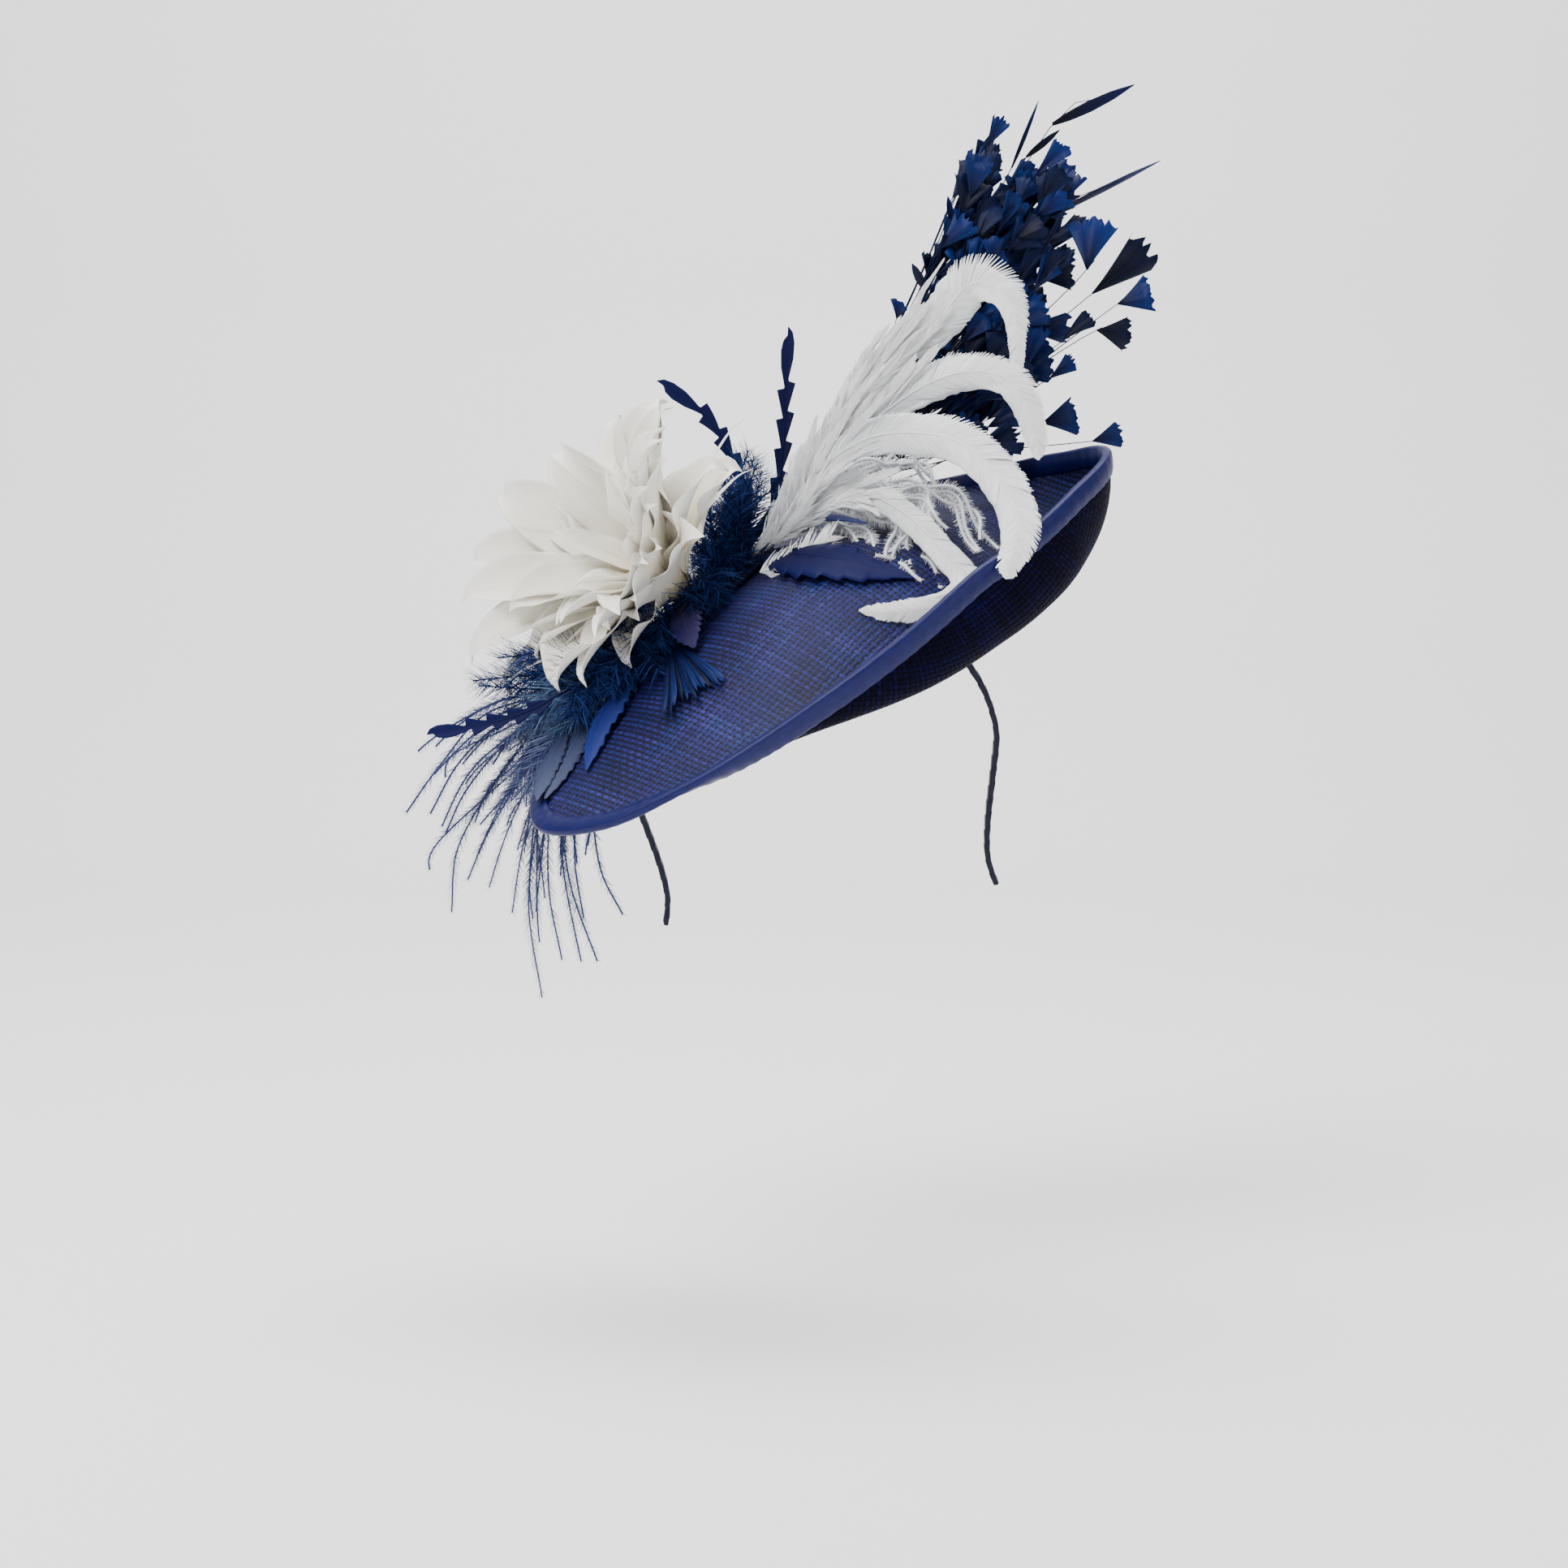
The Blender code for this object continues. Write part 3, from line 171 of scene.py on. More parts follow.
@dataclass(frozen=True)
class WovenStraw(Finish):
    """Sinamay: stiffened banana fibre in an open plain weave, cut on the bias.

    Its dyed threads differ one from the next, so the eye sees a fine two-way grain of navy and
    lavender with dark pinholes between the threads.
    """

    pitch: float = 0.0027
    bias: float = 56.0
    hole: str = "#01010C"
    stops: tuple = ((0.30, "#080830"), (0.48, "#0E1046"), (0.64, "#1A1E5C"), (0.85, "#343A76"))
    hues: tuple = ((0.38, "#F4C8FF"), (0.50, "#E4E4FF"), (0.62, "#B4F4FF"))
    relief: float = 0.0004
    # Noise scales: where threads sink, where the dye clouds and where its hue shifts
    patch_scale: float = 14.0
    cloud_scale: float = 45.0
    hue_scale: float = 70.0

    def make(self) -> bpy.types.Material:
        """Build the weave from the piece's own UV map, which is in metres along the cloth."""
        material, tree, shader = self.begin()
        add = partial(add_node, tree)
        uv = add("ShaderNodeTexCoord").outputs["UV"]
        turned = add("ShaderNodeMapping", {
            "Vector": uv,
            "Rotation": (0.0, 0.0, math.radians(self.bias)),
            "Scale": (1.0 / self.pitch, 1.0 / self.pitch, 1.0),
        })
        place = add("ShaderNodeSeparateXYZ", {0: turned.outputs[0]})
        waves = []
        crowns = []
        tones = []
        for axis in (0, 1):
            angle = add("ShaderNodeMath", {0: place.outputs[axis], 1: math.pi}, operation="MULTIPLY")
            wave = add("ShaderNodeMath", {0: angle.outputs[0]}, operation="SINE")
            crown = add("ShaderNodeMath", {0: wave.outputs[0]}, operation="ABSOLUTE")
            number = add("ShaderNodeMath", {0: place.outputs[axis]}, operation="FLOOR")
            tone = add("ShaderNodeTexWhiteNoise", {"W": number.outputs[0]}, noise_dimensions="1D")
            waves.append(wave.outputs[0])
            crowns.append(crown.outputs[0])
            tones.append(tone.outputs[0])
        over = add("ShaderNodeMath", {0: waves[0], 1: waves[1]}, operation="MULTIPLY").outputs[0]
        lifts = []
        for crown, share in zip(crowns, (0.4, -0.4)):
            lift = add("ShaderNodeMath", {0: over, 1: share, 2: 0.6}, operation="MULTIPLY_ADD")
            lifts.append(add("ShaderNodeMath", {0: crown, 1: lift.outputs[0]},
                             operation="MULTIPLY").outputs[0])
        # The slanted threads sink below the level ones in places
        patch = add("ShaderNodeTexNoise", {"Vector": uv, "Scale": self.patch_scale, "Detail": 1.0})
        sunk = add("ShaderNodeMapRange", {0: patch.outputs[0], 1: 0.42, 2: 0.58, 3: 0.62, 4: 1.0})
        lifts[0] = add("ShaderNodeMath", {0: lifts[0], 1: sunk.outputs[0]}, operation="MULTIPLY").outputs[0]
        height = add("ShaderNodeMath", {0: lifts[0], 1: lifts[1]}, operation="MAXIMUM").outputs[0]
        on_top = add("ShaderNodeMath", {0: lifts[0], 1: lifts[1]}, operation="GREATER_THAN")
        tone = add("ShaderNodeMix", {0: on_top.outputs[0], 2: tones[1], 3: tones[0]}, data_type="FLOAT")
        cloud = add("ShaderNodeTexNoise", {"Vector": uv, "Scale": self.cloud_scale, "Detail": 3.0})
        mixed = add("ShaderNodeMath", {0: tone.outputs[0], 1: 0.22, 2: 0.22}, operation="MULTIPLY_ADD")
        mixed = add("ShaderNodeMath", {0: cloud.outputs[0], 1: 0.50, 2: mixed.outputs[0]},
                    operation="MULTIPLY_ADD")
        thread = add("ShaderNodeValToRGB", {0: mixed.outputs[0]})
        thread = set_ramp(thread, self.stops)
        hue = add("ShaderNodeTexNoise", {"Vector": uv, "Scale": self.hue_scale, "Detail": 1.0})
        hue = set_ramp(add("ShaderNodeValToRGB", {0: hue.outputs[0]}), self.hues)
        thread = add("ShaderNodeMix", {0: 1.0, 6: thread, 7: hue}, data_type="RGBA",
                     blend_type="MULTIPLY").outputs[2]
        cover = add("ShaderNodeMapRange", {0: height, 1: 0.28, 2: 0.60})
        colour = add("ShaderNodeMix", {0: cover.outputs[0], 6: linear(self.hole), 7: thread},
                     data_type="RGBA")
        self.dress(tree, shader, colour.outputs[2], height, self.relief, 0.9)
        return material


@dataclass(frozen=True)
class Satin(Finish):
    """Satin bias ribbon: long floats of a filament yarn give a soft, slanted gleam.

    The floats are finer than a pixel, so they are drawn 0.7 mm apart.
    """

    body: str = "#080E4C"
    shade: str = "#05083A"
    float_spacing: float = 0.0007
    slant: float = 40.0
    relief: float = 0.00006
    pucker_scale: float = 160.0

    def make(self) -> bpy.types.Material:
        """Build slanted floats and soft puckers from the UV map, which is in metres."""
        material, tree, shader = self.begin()
        add = partial(add_node, tree)
        uv = add("ShaderNodeTexCoord").outputs["UV"]
        turned = add("ShaderNodeMapping", {
            "Vector": uv,
            "Rotation": (0.0, 0.0, math.radians(self.slant)),
            "Scale": (1.0 / self.float_spacing, 0.12 / self.float_spacing, 1.0),
        })
        yarn = add("ShaderNodeTexNoise", {"Vector": turned.outputs[0], "Scale": 1.0, "Detail": 2.0})
        pucker = add("ShaderNodeTexNoise", {"Vector": uv, "Scale": self.pucker_scale, "Detail": 1.0})
        both = add("ShaderNodeMath", {0: yarn.outputs[0], 1: 0.5, 2: pucker.outputs[0]},
                   operation="MULTIPLY_ADD")
        ramp = add("ShaderNodeValToRGB", {0: yarn.outputs[0]})
        colour = set_ramp(ramp, ((0.30, self.shade), (0.60, self.body)))
        self.dress(tree, shader, colour, both.outputs[0], self.relief)
        return material


@dataclass(frozen=True)
class Felt(Finish):
    """Pressed wool felt or wound cotton: short fibres that lie every way, so it has no gloss."""

    body: str = "#06061A"
    lint: str = "#101238"
    fibre: float = 0.0005
    relief: float = 0.0003

    def make(self) -> bpy.types.Material:
        """Build a matted fibre pattern on Object coordinates."""
        material, tree, shader = self.begin()
        add = partial(add_node, tree)
        place = add("ShaderNodeTexCoord").outputs["Object"]
        mat = add("ShaderNodeTexNoise", {"Vector": place, "Scale": 1.0 / self.fibre, "Detail": 4.0})
        ramp = add("ShaderNodeValToRGB", {0: mat.outputs[0]})
        colour = set_ramp(ramp, ((0.35, self.body), (0.75, self.lint)))
        self.dress(tree, shader, colour, mat.outputs[0], self.relief)
        return material


@dataclass(frozen=True)
class Vaned(Finish):
    """A feather's vane: barbs of keratin side by side, each a little lighter or darker.

    The barbs are modelled, so the finish only gives their colour along and across the vane.
    """

    root: str = "#E9E4D6"
    body: str = "#F1EEE6"
    tip: str = "#F5F3EE"
    edge: str = "#FFFFFF"
    edge_share: float = 0.35
    unevenness: float = 0.25
    barb_spacing: float = 0.0005
    barb_contrast: float = 0.30
    relief: float = 0.00008

    def make(self) -> bpy.types.Material:
        """Build the colour from the UV map (across, along) and each barb's own shade."""
        material, tree, shader = self.begin()
        add = partial(add_node, tree)
        uv = add("ShaderNodeTexCoord").outputs["UV"]
        place = add("ShaderNodeSeparateXYZ", {0: uv})
        along = add("ShaderNodeValToRGB", {0: place.outputs[1]})
        along = set_ramp(along, ((0.02, self.root), (0.35, self.body), (0.95, self.tip)))
        across = add("ShaderNodeMath", {0: place.outputs[0], 1: 0.5}, operation="SUBTRACT")
        across = add("ShaderNodeMath", {0: across.outputs[0]}, operation="ABSOLUTE")
        outer = add("ShaderNodeMapRange", {0: across.outputs[0], 1: 0.20, 2: 0.5, 4: self.edge_share})
        colour = add("ShaderNodeMix", {0: outer.outputs[0], 6: along, 7: linear(self.edge)}, data_type="RGBA")
        shade = add("ShaderNodeAttribute", attribute_name="shade").outputs["Fac"]
        dim = add("ShaderNodeMapRange", {0: shade, 3: 1.0 - self.unevenness, 4: 1.0})
        barb = add("ShaderNodeAttribute", attribute_name="barb").outputs["Fac"]
        line = add("ShaderNodeTexNoise", {"W": barb, "Scale": 1.0 / self.barb_spacing, "Detail": 2.0},
                   noise_dimensions="1D").outputs[0]
        streak = add("ShaderNodeMapRange", {0: line, 1: 0.30, 2: 0.70, 3: 1.0 - self.barb_contrast, 4: 1.0})
        dim = add("ShaderNodeMath", {0: dim.outputs[0], 1: streak.outputs[0]}, operation="MULTIPLY")
        toned = add("ShaderNodeMix", {0: 1.0, 6: colour.outputs[2], 7: dim.outputs[0]},
                    data_type="RGBA", blend_type="MULTIPLY")
        self.dress(tree, shader, toned.outputs[2], line, self.relief, 0.6)
        return material


@dataclass(frozen=True)
class Fluff(Finish):
    """Marabou or ostrich flue: hair-fine barbs that hang loose and take light softly."""

    dark: str = "#10122E"
    middle: str = "#232A5C"
    light: str = "#4A5A8C"

    def make(self) -> bpy.types.Material:
        """Build the colour from each flue's own shade."""
        material, tree, shader = self.begin()
        add = partial(add_node, tree)
        shade = add("ShaderNodeAttribute", attribute_name="shade").outputs["Fac"]
        ramp = add("ShaderNodeValToRGB", {0: shade})
        colour = set_ramp(ramp, ((0.0, self.dark), (0.5, self.middle), (1.0, self.light)))
        tree.links.new(colour, shader.inputs["Base Color"])
        return material


SINAMAY_FLOOR = WovenStraw("sinamay_straw", 0.60, specular=0.22)
# Painted shade: a darker copy of the same weave for the saucer's outer face, standing in for the shade under
# the saucer
SINAMAY_PAINTED_SHADE = WovenStraw("painted_shade_sinamay_straw", 0.60, specular=0.03, hole="#000004", stops=(
    (0.30, "#010008"), (0.48, "#020116"), (0.64, "#050226"), (0.85, "#0E0840")))
BINDING_SATIN = Satin("bias_satin", 0.42, specular=0.22)
BAND_SATIN = Satin("band_satin", 0.50, specular=0.2, body="#090B26", shade="#040516")
MOUNT_FELT = Felt("wool_felt", 0.9, specular=0.1)
CORE_COTTON = Felt("wound_cotton", 0.8, body="#D8D0BC", lint="#EFEADC")
IVORY_GOOSE = Vaned("ivory_goose", 0.55, sheen=0.15, translucence=0.15, root="#F0DFA6", body="#F4EEDC",
                    tip="#F8F5EC", edge="#FCFAF5", unevenness=0.07, barb_contrast=0.10)
WHITE_COQUE = Vaned("white_coque", 0.50, sheen=0.15, translucence=0.05, root="#DADDE0", body="#F1F2F3",
                    tip="#F9F9FA", edge="#E6E9EC", unevenness=0.16, barb_contrast=0.24)
NAVY_VANE = Vaned("navy_vane", 0.50, specular=0.12, root="#03041E", body="#06093A", tip="#090F48",
                  edge="#0E1858", unevenness=0.35)
BLUE_VANE = Vaned("blue_vane", 0.50, specular=0.15, root="#0A0E3C", body="#131C5C", tip="#1C2C74",
                  edge="#2A3E8C", unevenness=0.20)
GREY_VANE = Vaned("grey_vane", 0.55, specular=0.15, root="#1A2240", body="#343E60", tip="#4C5674",
                  edge="#303A5E", unevenness=0.30)
PURPLE_VANE = Vaned("purple_vane", 0.50, specular=0.15, root="#0A0824", body="#17133E", tip="#1E1A4C",
                    edge="#262260", unevenness=0.30)
TEAL_FAN = Vaned("teal_fan", 0.50, specular=0.12, root="#020214", body="#050836", tip="#0B2262",
                 edge="#123878", edge_share=0.30, unevenness=0.85, barb_contrast=0.40)
NAVY_FLUFF = Fluff("navy_marabou", 0.80, specular=0.08, dark="#03041C", middle="#0B123E", light="#28407A")
PALE_FLUFF = Fluff("teal_marabou", 0.80, specular=0.1, dark="#10183C", middle="#2C4066", light="#66809C")
OSTRICH_FLUFF = Fluff("navy_ostrich", 0.75, specular=0.1, dark="#14163C", middle="#343C68", light="#6C7494")
WHITE_FLUFF = Fluff("white_ostrich", 0.70, specular=0.2, dark="#C6C9CE", middle="#E6E7EA", light="#FAFAFB")


# Meshes from arrays

def unit(vectors: np.ndarray) -> np.ndarray:
    """Return the vectors scaled to length 1."""
    return vectors / np.maximum(np.linalg.norm(vectors, axis=-1, keepdims=True), 1e-9)


def smooth_path(points: Sequence[Sequence[float]], count: int) -> np.ndarray:
    """Read a smooth curve through chosen points at even steps of its length.

    Args:
        points: The points that the curve passes.
        count: How many points to return.

    Returns:
        The curve's points.
    """
    chosen = np.array(points, dtype=float)
    padded = np.vstack([2 * chosen[0] - chosen[1], chosen, 2 * chosen[-1] - chosen[-2]])
    t = np.linspace(0.0, 1.0, 16, endpoint=False)[:, None]
    runs = []
    for a, b, c, d in zip(padded, padded[1:], padded[2:], padded[3:]):
        runs.append(0.5 * (2 * b + (c - a) * t + (2 * a - 5 * b + 4 * c - d) * t**2
                           + (3 * b - a - 3 * c + d) * t**3))
    fine = np.vstack(runs + [chosen[-1:]])
    steps = run_lengths(fine)
    places = np.linspace(0.0, steps[-1], count)
    return np.stack([np.interp(places, steps, fine[:, axis]) for axis in range(3)], axis=1)


def frames_along(path: np.ndarray, facing: Sequence[float]) -> tuple[np.ndarray, np.ndarray, np.ndarray]:
    """Return the run, side and face directions at each point of a path.

    Args:
        path: The path's points.
        facing: The way the flat side should look.

    Returns:
        Three arrays of unit vectors.
    """
    run = unit(np.gradient(path, axis=0))
    side = unit(np.cross(run, np.array(facing, dtype=float)))
    return run, side, np.cross(side, run)


def run_lengths(points: np.ndarray) -> np.ndarray:
    """Return the length along a line from its first point to each point."""
    return np.concatenate([[0.0], np.cumsum(np.linalg.norm(np.diff(points, axis=0), axis=1))])


def read_table(table: Table, shares: np.ndarray) -> np.ndarray:
    """Return a two-column table's values at shares."""
    rows = np.array(table, dtype=float)
    return np.interp(shares, rows[:, 0], rows[:, 1])


class Sheaf:
    """Strips, tubes and thin sheets that become one mesh.

    Each point has a UV place, a tone called shade and a value called barb, which is where its
    barb leaves the shaft, in metres.
    """

    def __init__(self) -> None:
        """Start empty."""
        self.parts: list[tuple[np.ndarray, ...]] = []
        self.total = 0

    def add(self, points: np.ndarray, quads: np.ndarray, uvs: np.ndarray, shades: np.ndarray,
            barbs: np.ndarray) -> None:
        """Add points with their four-sided faces and values.

        Args:
            points: The points, in rows of three.
            quads: Faces, numbered within these points.
            uvs: One UV place for each point.
            shades: One tone for each point.
            barbs: One barb place for each point.
        """
        self.parts.append((points.reshape(-1, 3), quads + self.total, uvs.reshape(-1, 2), shades.ravel(),
                           barbs.ravel()))
        self.total += points.size // 3

    def add_strips(self, centres: np.ndarray, halves: np.ndarray, uvs: np.ndarray, shades: np.ndarray,
                   barbs: np.ndarray) -> None:
        """Add flat strips, one for each row of centres.

        Args:
            centres: Strip by step by 3.
            halves: The half-width vectors, of the same shape.
            uvs: Strip by step by 2.
            shades: One for each strip.
            barbs: One for each strip.
        """
        strips, steps = centres.shape[:2]
        points = np.stack([centres - halves, centres + halves], axis=2)
        first = (np.arange(strips)[:, None] * steps + np.arange(steps - 1)[None, :]).ravel() * 2
        quads = np.stack([first, first + 1, first + 3, first + 2], axis=1)
        self.add(points, quads, np.repeat(uvs.reshape(-1, 2), 2, axis=0), np.repeat(shades, steps * 2),
                 np.repeat(barbs, steps * 2))

    def add_loft(self, rings: np.ndarray, uvs: np.ndarray, shade: float, barbs: np.ndarray | None = None,
                 closed: bool = False) -> None:
        """Add a skin over rings, capped at both ends unless it closes on itself.

        Args:
            rings: Ring by point by 3, with an even number of points in a ring.
            uvs: Ring by point by 2.
            shade: The tone.
            barbs: Ring by point, or nothing.
            closed: Whether the last ring joins the first.
        """
        count, size = rings.shape[:2]
        here = np.arange(count if closed else count - 1)[:, None] * size
        after = (here + size) % (count * size)
        k = np.arange(size)[None, :]
        turn = (k + 1) % size
        quads = np.stack([here + k, here + turn, after + turn, after + k], axis=2).reshape(-1, 4)
        if not closed:
            j = np.arange(size // 2 - 1)
            cap = np.stack([j, size - 1 - j, size - 2 - j, j + 1], axis=1)
            quads = np.vstack([quads, cap, cap[:, ::-1] + (count - 1) * size])
        points = rings.reshape(-1, 3)
        a, b, c, d = (points[quads[:, i]] for i in range(4))
        if np.sum(a * np.cross(b, c)) + np.sum(a * np.cross(c, d)) < 0.0:
            quads = quads[:, ::-1]
        tones = np.full(len(points), shade)
        self.add(points, quads, uvs, tones, np.zeros(len(points)) if barbs is None else barbs)

    def add_tube(self, path: np.ndarray, radii: np.ndarray, facing: Sequence[float], shade: float) -> None:
        """Add a closed four-sided tube along a path.

        Args:
            path: The middle line.
            radii: The radius at each point.
            facing: The way one of its corners looks.
            shade: The tone.
        """
        _, side, face = frames_along(path, facing)
        rings = np.stack([path + way * radii[:, None] for way in (-side, face, side, -face)], axis=1)
        along = np.broadcast_to(np.linspace(0.0, 1.0, len(path))[:, None], rings.shape[:2])
        self.add_loft(rings, np.stack([np.full(along.shape, 0.5), along], axis=2), shade)

    def add_sheet(self, middle: np.ndarray, offset: np.ndarray, uvs: np.ndarray, shade: float,
                  barbs: np.ndarray) -> None:
        """Add a thin closed sheet, with a face on each side of its middle.

        Args:
            middle: Row by column by 3.
            offset: From the middle to the front face.
            uvs: Row by column by 2.
            shade: The tone.
            barbs: Row by column.
        """
        rings, uvs, barbs = (np.concatenate([front, back[:, ::-1]], axis=1) for front, back in (
            (middle + offset, middle - offset), (uvs, uvs), (barbs, barbs)))
        self.add_loft(rings, uvs, shade, barbs)

    def build(self, name: str, material: bpy.types.Material) -> bpy.types.Object:
        """Make the mesh object.

        Args:
            name: The object's name.
            material: Its material.

        Returns:
            The object, linked to the scene.
        """
        points, quads, uvs, shades, barbs = (np.concatenate(rows) for rows in zip(*self.parts))
        mesh = bpy.data.meshes.new(name)
        mesh.vertices.add(len(points))
        mesh.vertices.foreach_set("co", points.astype(np.float32).ravel())
        mesh.loops.add(quads.size)
        mesh.loops.foreach_set("vertex_index", quads.astype(np.int32).ravel())
        mesh.polygons.add(len(quads))
        mesh.polygons.foreach_set("loop_start", np.arange(len(quads), dtype=np.int32) * 4)
        mesh.polygons.foreach_set("use_smooth", np.ones(len(quads), dtype=bool))
        layer = mesh.uv_layers.new(name="UVMap")
        layer.data.foreach_set("uv", uvs[quads.ravel()].astype(np.float32).ravel())
        for label, values in (("shade", shades), ("barb", barbs)):
            mesh.attributes.new(label, "FLOAT", "POINT").data.foreach_set("value", values.astype(np.float32))
        mesh.update(calc_edges=True)
        mesh.materials.append(material)
        piece = bpy.data.objects.new(name, mesh)
        bpy.context.scene.collection.objects.link(piece)
        return piece


def settle(piece: bpy.types.Object, slot: str, *nodes: str) -> None:
    """Tie a finished piece to the hat.

    Args:
        piece: The piece.
        slot: Not used.
        *nodes: The plain solids that it stands for.
    """
    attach(piece, ROOT_BODY)
    if nodes:
        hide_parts(*nodes)
    LOG.info("%s: %d faces", piece.name, len(piece.data.polygons))


# Flues, grown with Geometry Nodes

class Flue(NamedTuple):
    """The sizes of the flues along a set of strands."""

    length: float
    spacing: float
    width: float = 0.02
    angle: float = 50.0
    spread: float = 0.25
    droop: float = 0.35
    shaft: float = 0.0004
    seed: int = 1


class FlueGrower:
    """Geometry Nodes that set hair-fine flues along the strands of a curve object."""

    # A flue's size along its strand, its chance range, the shaft's tone and the flat side's lean
    ARCH_ENDS = ((0.0, 0.45), (1.0, 0.45))
    ARCH_MIDDLE = ((0.25, 0.95), (0.75, 0.85))
    SIZE_RANGE = (0.65, 1.10)
    SHAFT_TONE = 0.35
    FLAT_LEAN = (0.0, -0.5, 0.3)

    def __init__(self) -> None:
        """Build the tree once."""
        self.tree = self.build_tree()

    def build_tree(self) -> bpy.types.NodeTree:
        """Make the node tree: flues and shafts along each strand.

        Returns:
            The tree, with named inputs for its sizes.
        """
        tree = bpy.data.node_groups.new("flues_along_strands", "GeometryNodeTree")
        add = partial(add_node, tree)
        face = tree.interface
        face.new_socket("Geometry", in_out="INPUT", socket_type="NodeSocketGeometry")
        for name in ("Length", "Spacing", "Width", "Angle", "Spread", "Droop", "Shaft"):
            face.new_socket(name, in_out="INPUT", socket_type="NodeSocketFloat")
        face.new_socket("Seed", in_out="INPUT", socket_type="NodeSocketInt")
        face.new_socket("Material", in_out="INPUT", socket_type="NodeSocketMaterial")
        face.new_socket("Geometry", in_out="OUTPUT", socket_type="NodeSocketGeometry")
        given = add("NodeGroupInput").outputs
        # One flue of length 1 along +X that narrows and droops
        sheet = add("GeometryNodeMeshGrid",
                    {"Size X": 1.0, "Size Y": 1.0, "Vertices X": 5, "Vertices Y": 2}).outputs["Mesh"]
        at = add("ShaderNodeSeparateXYZ", {0: add("GeometryNodeInputPosition").outputs[0]})
        reach = add("ShaderNodeMath", {0: at.outputs[0], 1: 0.5}, operation="ADD").outputs[0]
        taper = add("ShaderNodeMath", {0: reach, 1: -0.75, 2: 1.0}, operation="MULTIPLY_ADD").outputs[0]
        wide = add("ShaderNodeMath", {0: taper, 1: given["Width"]}, operation="MULTIPLY").outputs[0]
        wide = add("ShaderNodeMath", {0: wide, 1: at.outputs[1]}, operation="MULTIPLY").outputs[0]
        square = add("ShaderNodeMath", {0: reach, 1: 2.0}, operation="POWER").outputs[0]
        fall = add("ShaderNodeMath", {0: square, 1: given["Droop"]}, operation="MULTIPLY").outputs[0]
        fall = add("ShaderNodeMath", {0: fall, 1: -1.0}, operation="MULTIPLY").outputs[0]
        bent = add("ShaderNodeCombineXYZ", {0: reach, 1: wide, 2: fall})
        flue = add("GeometryNodeSetPosition", {"Geometry": sheet, "Position": bent.outputs[0]})
        # Where the flues stand, and which way each one goes
        strands = add("GeometryNodeResampleCurve",
                      {"Curve": given["Geometry"], "Length": given["Spacing"]}, mode="LENGTH").outputs[0]
        run = add("GeometryNodeInputTangent").outputs[0]
        side = add("ShaderNodeVectorMath", {0: run, 1: (0.0, -1.0, 0.15)}, operation="CROSS_PRODUCT")
        side = add("ShaderNodeVectorMath", {0: side.outputs[0]}, operation="NORMALIZE").outputs[0]
        index = add("GeometryNodeInputIndex").outputs[0]
        parity = add("ShaderNodeMath", {0: index, 1: 2.0}, operation="MODULO").outputs[0]
        hand = add("ShaderNodeMath", {0: parity, 1: 2.0, 2: -1.0}, operation="MULTIPLY_ADD").outputs[0]
        sine = add("ShaderNodeMath", {0: given["Angle"]}, operation="SINE").outputs[0]
        sine = add("ShaderNodeMath", {0: sine, 1: hand}, operation="MULTIPLY").outputs[0]
        cosine = add("ShaderNodeMath", {0: given["Angle"]}, operation="COSINE").outputs[0]
        out = add("ShaderNodeVectorMath", {0: side, "Scale": sine}, operation="SCALE").outputs[0]
        on = add("ShaderNodeVectorMath", {0: run, "Scale": cosine}, operation="SCALE").outputs[0]
        chance_way = add("FunctionNodeRandomValue",
                         {0: (-1.0, -1.0, -1.0), 1: (1.0, 1.0, 1.0), "Seed": given["Seed"]},
                         data_type="FLOAT_VECTOR").outputs[0]
        flat_way = add("ShaderNodeVectorMath", {0: chance_way, 1: self.FLAT_LEAN}, operation="ADD")
        stray = add("ShaderNodeVectorMath", {0: chance_way, "Scale": given["Spread"]},
                    operation="SCALE").outputs[0]
        way = add("ShaderNodeVectorMath", {0: out, 1: on}, operation="ADD").outputs[0]
        way = add("ShaderNodeVectorMath", {0: way, 1: stray}, operation="ADD").outputs[0]
        aimed = add("FunctionNodeAlignRotationToVector", {"Vector": way}, axis="X").outputs[0]
        upright = add("FunctionNodeAlignRotationToVector", {"Rotation": aimed, "Vector": flat_way.outputs[0]},
                      axis="Z", pivot_axis="X").outputs[0]
        # Shorter at both ends of a strand
        share = add("GeometryNodeSplineParameter").outputs["Factor"]
        arch = add("ShaderNodeFloatCurve", {"Value": share})
        curve = arch.mapping.curves[0]
        for point, place in zip(curve.points, self.ARCH_ENDS):
            point.location = place
        for place in self.ARCH_MIDDLE:
            curve.points.new(*place)
        arch.mapping.update()
        chance = add("FunctionNodeRandomValue",
                     {2: self.SIZE_RANGE[0], 3: self.SIZE_RANGE[1], "Seed": given["Seed"]},
                     data_type="FLOAT").outputs[1]
        size = add("ShaderNodeMath", {0: arch.outputs[0], 1: given["Length"]}, operation="MULTIPLY")
        size = add("ShaderNodeMath", {0: size.outputs[0], 1: chance}, operation="MULTIPLY").outputs[0]
        flues = add("GeometryNodeInstanceOnPoints", {
            "Points": strands, "Instance": flue.outputs[0], "Rotation": upright, "Scale": size}).outputs[0]
        tone = add("FunctionNodeRandomValue", {2: 0.0, 3: 1.0, "Seed": given["Seed"]},
                   data_type="FLOAT").outputs[1]
        flues = add("GeometryNodeStoreNamedAttribute", {"Geometry": flues, "Name": "shade", "Value": tone},
                    data_type="FLOAT", domain="INSTANCE").outputs[0]
        flues = add("GeometryNodeRealizeInstances", {0: flues}).outputs[0]
        ring = add("GeometryNodeCurvePrimitiveCircle", {"Resolution": 4, "Radius": given["Shaft"]})
        shafts = add("GeometryNodeCurveToMesh", {
            "Curve": given["Geometry"], "Profile Curve": ring.outputs[0], "Fill Caps": True}).outputs[0]
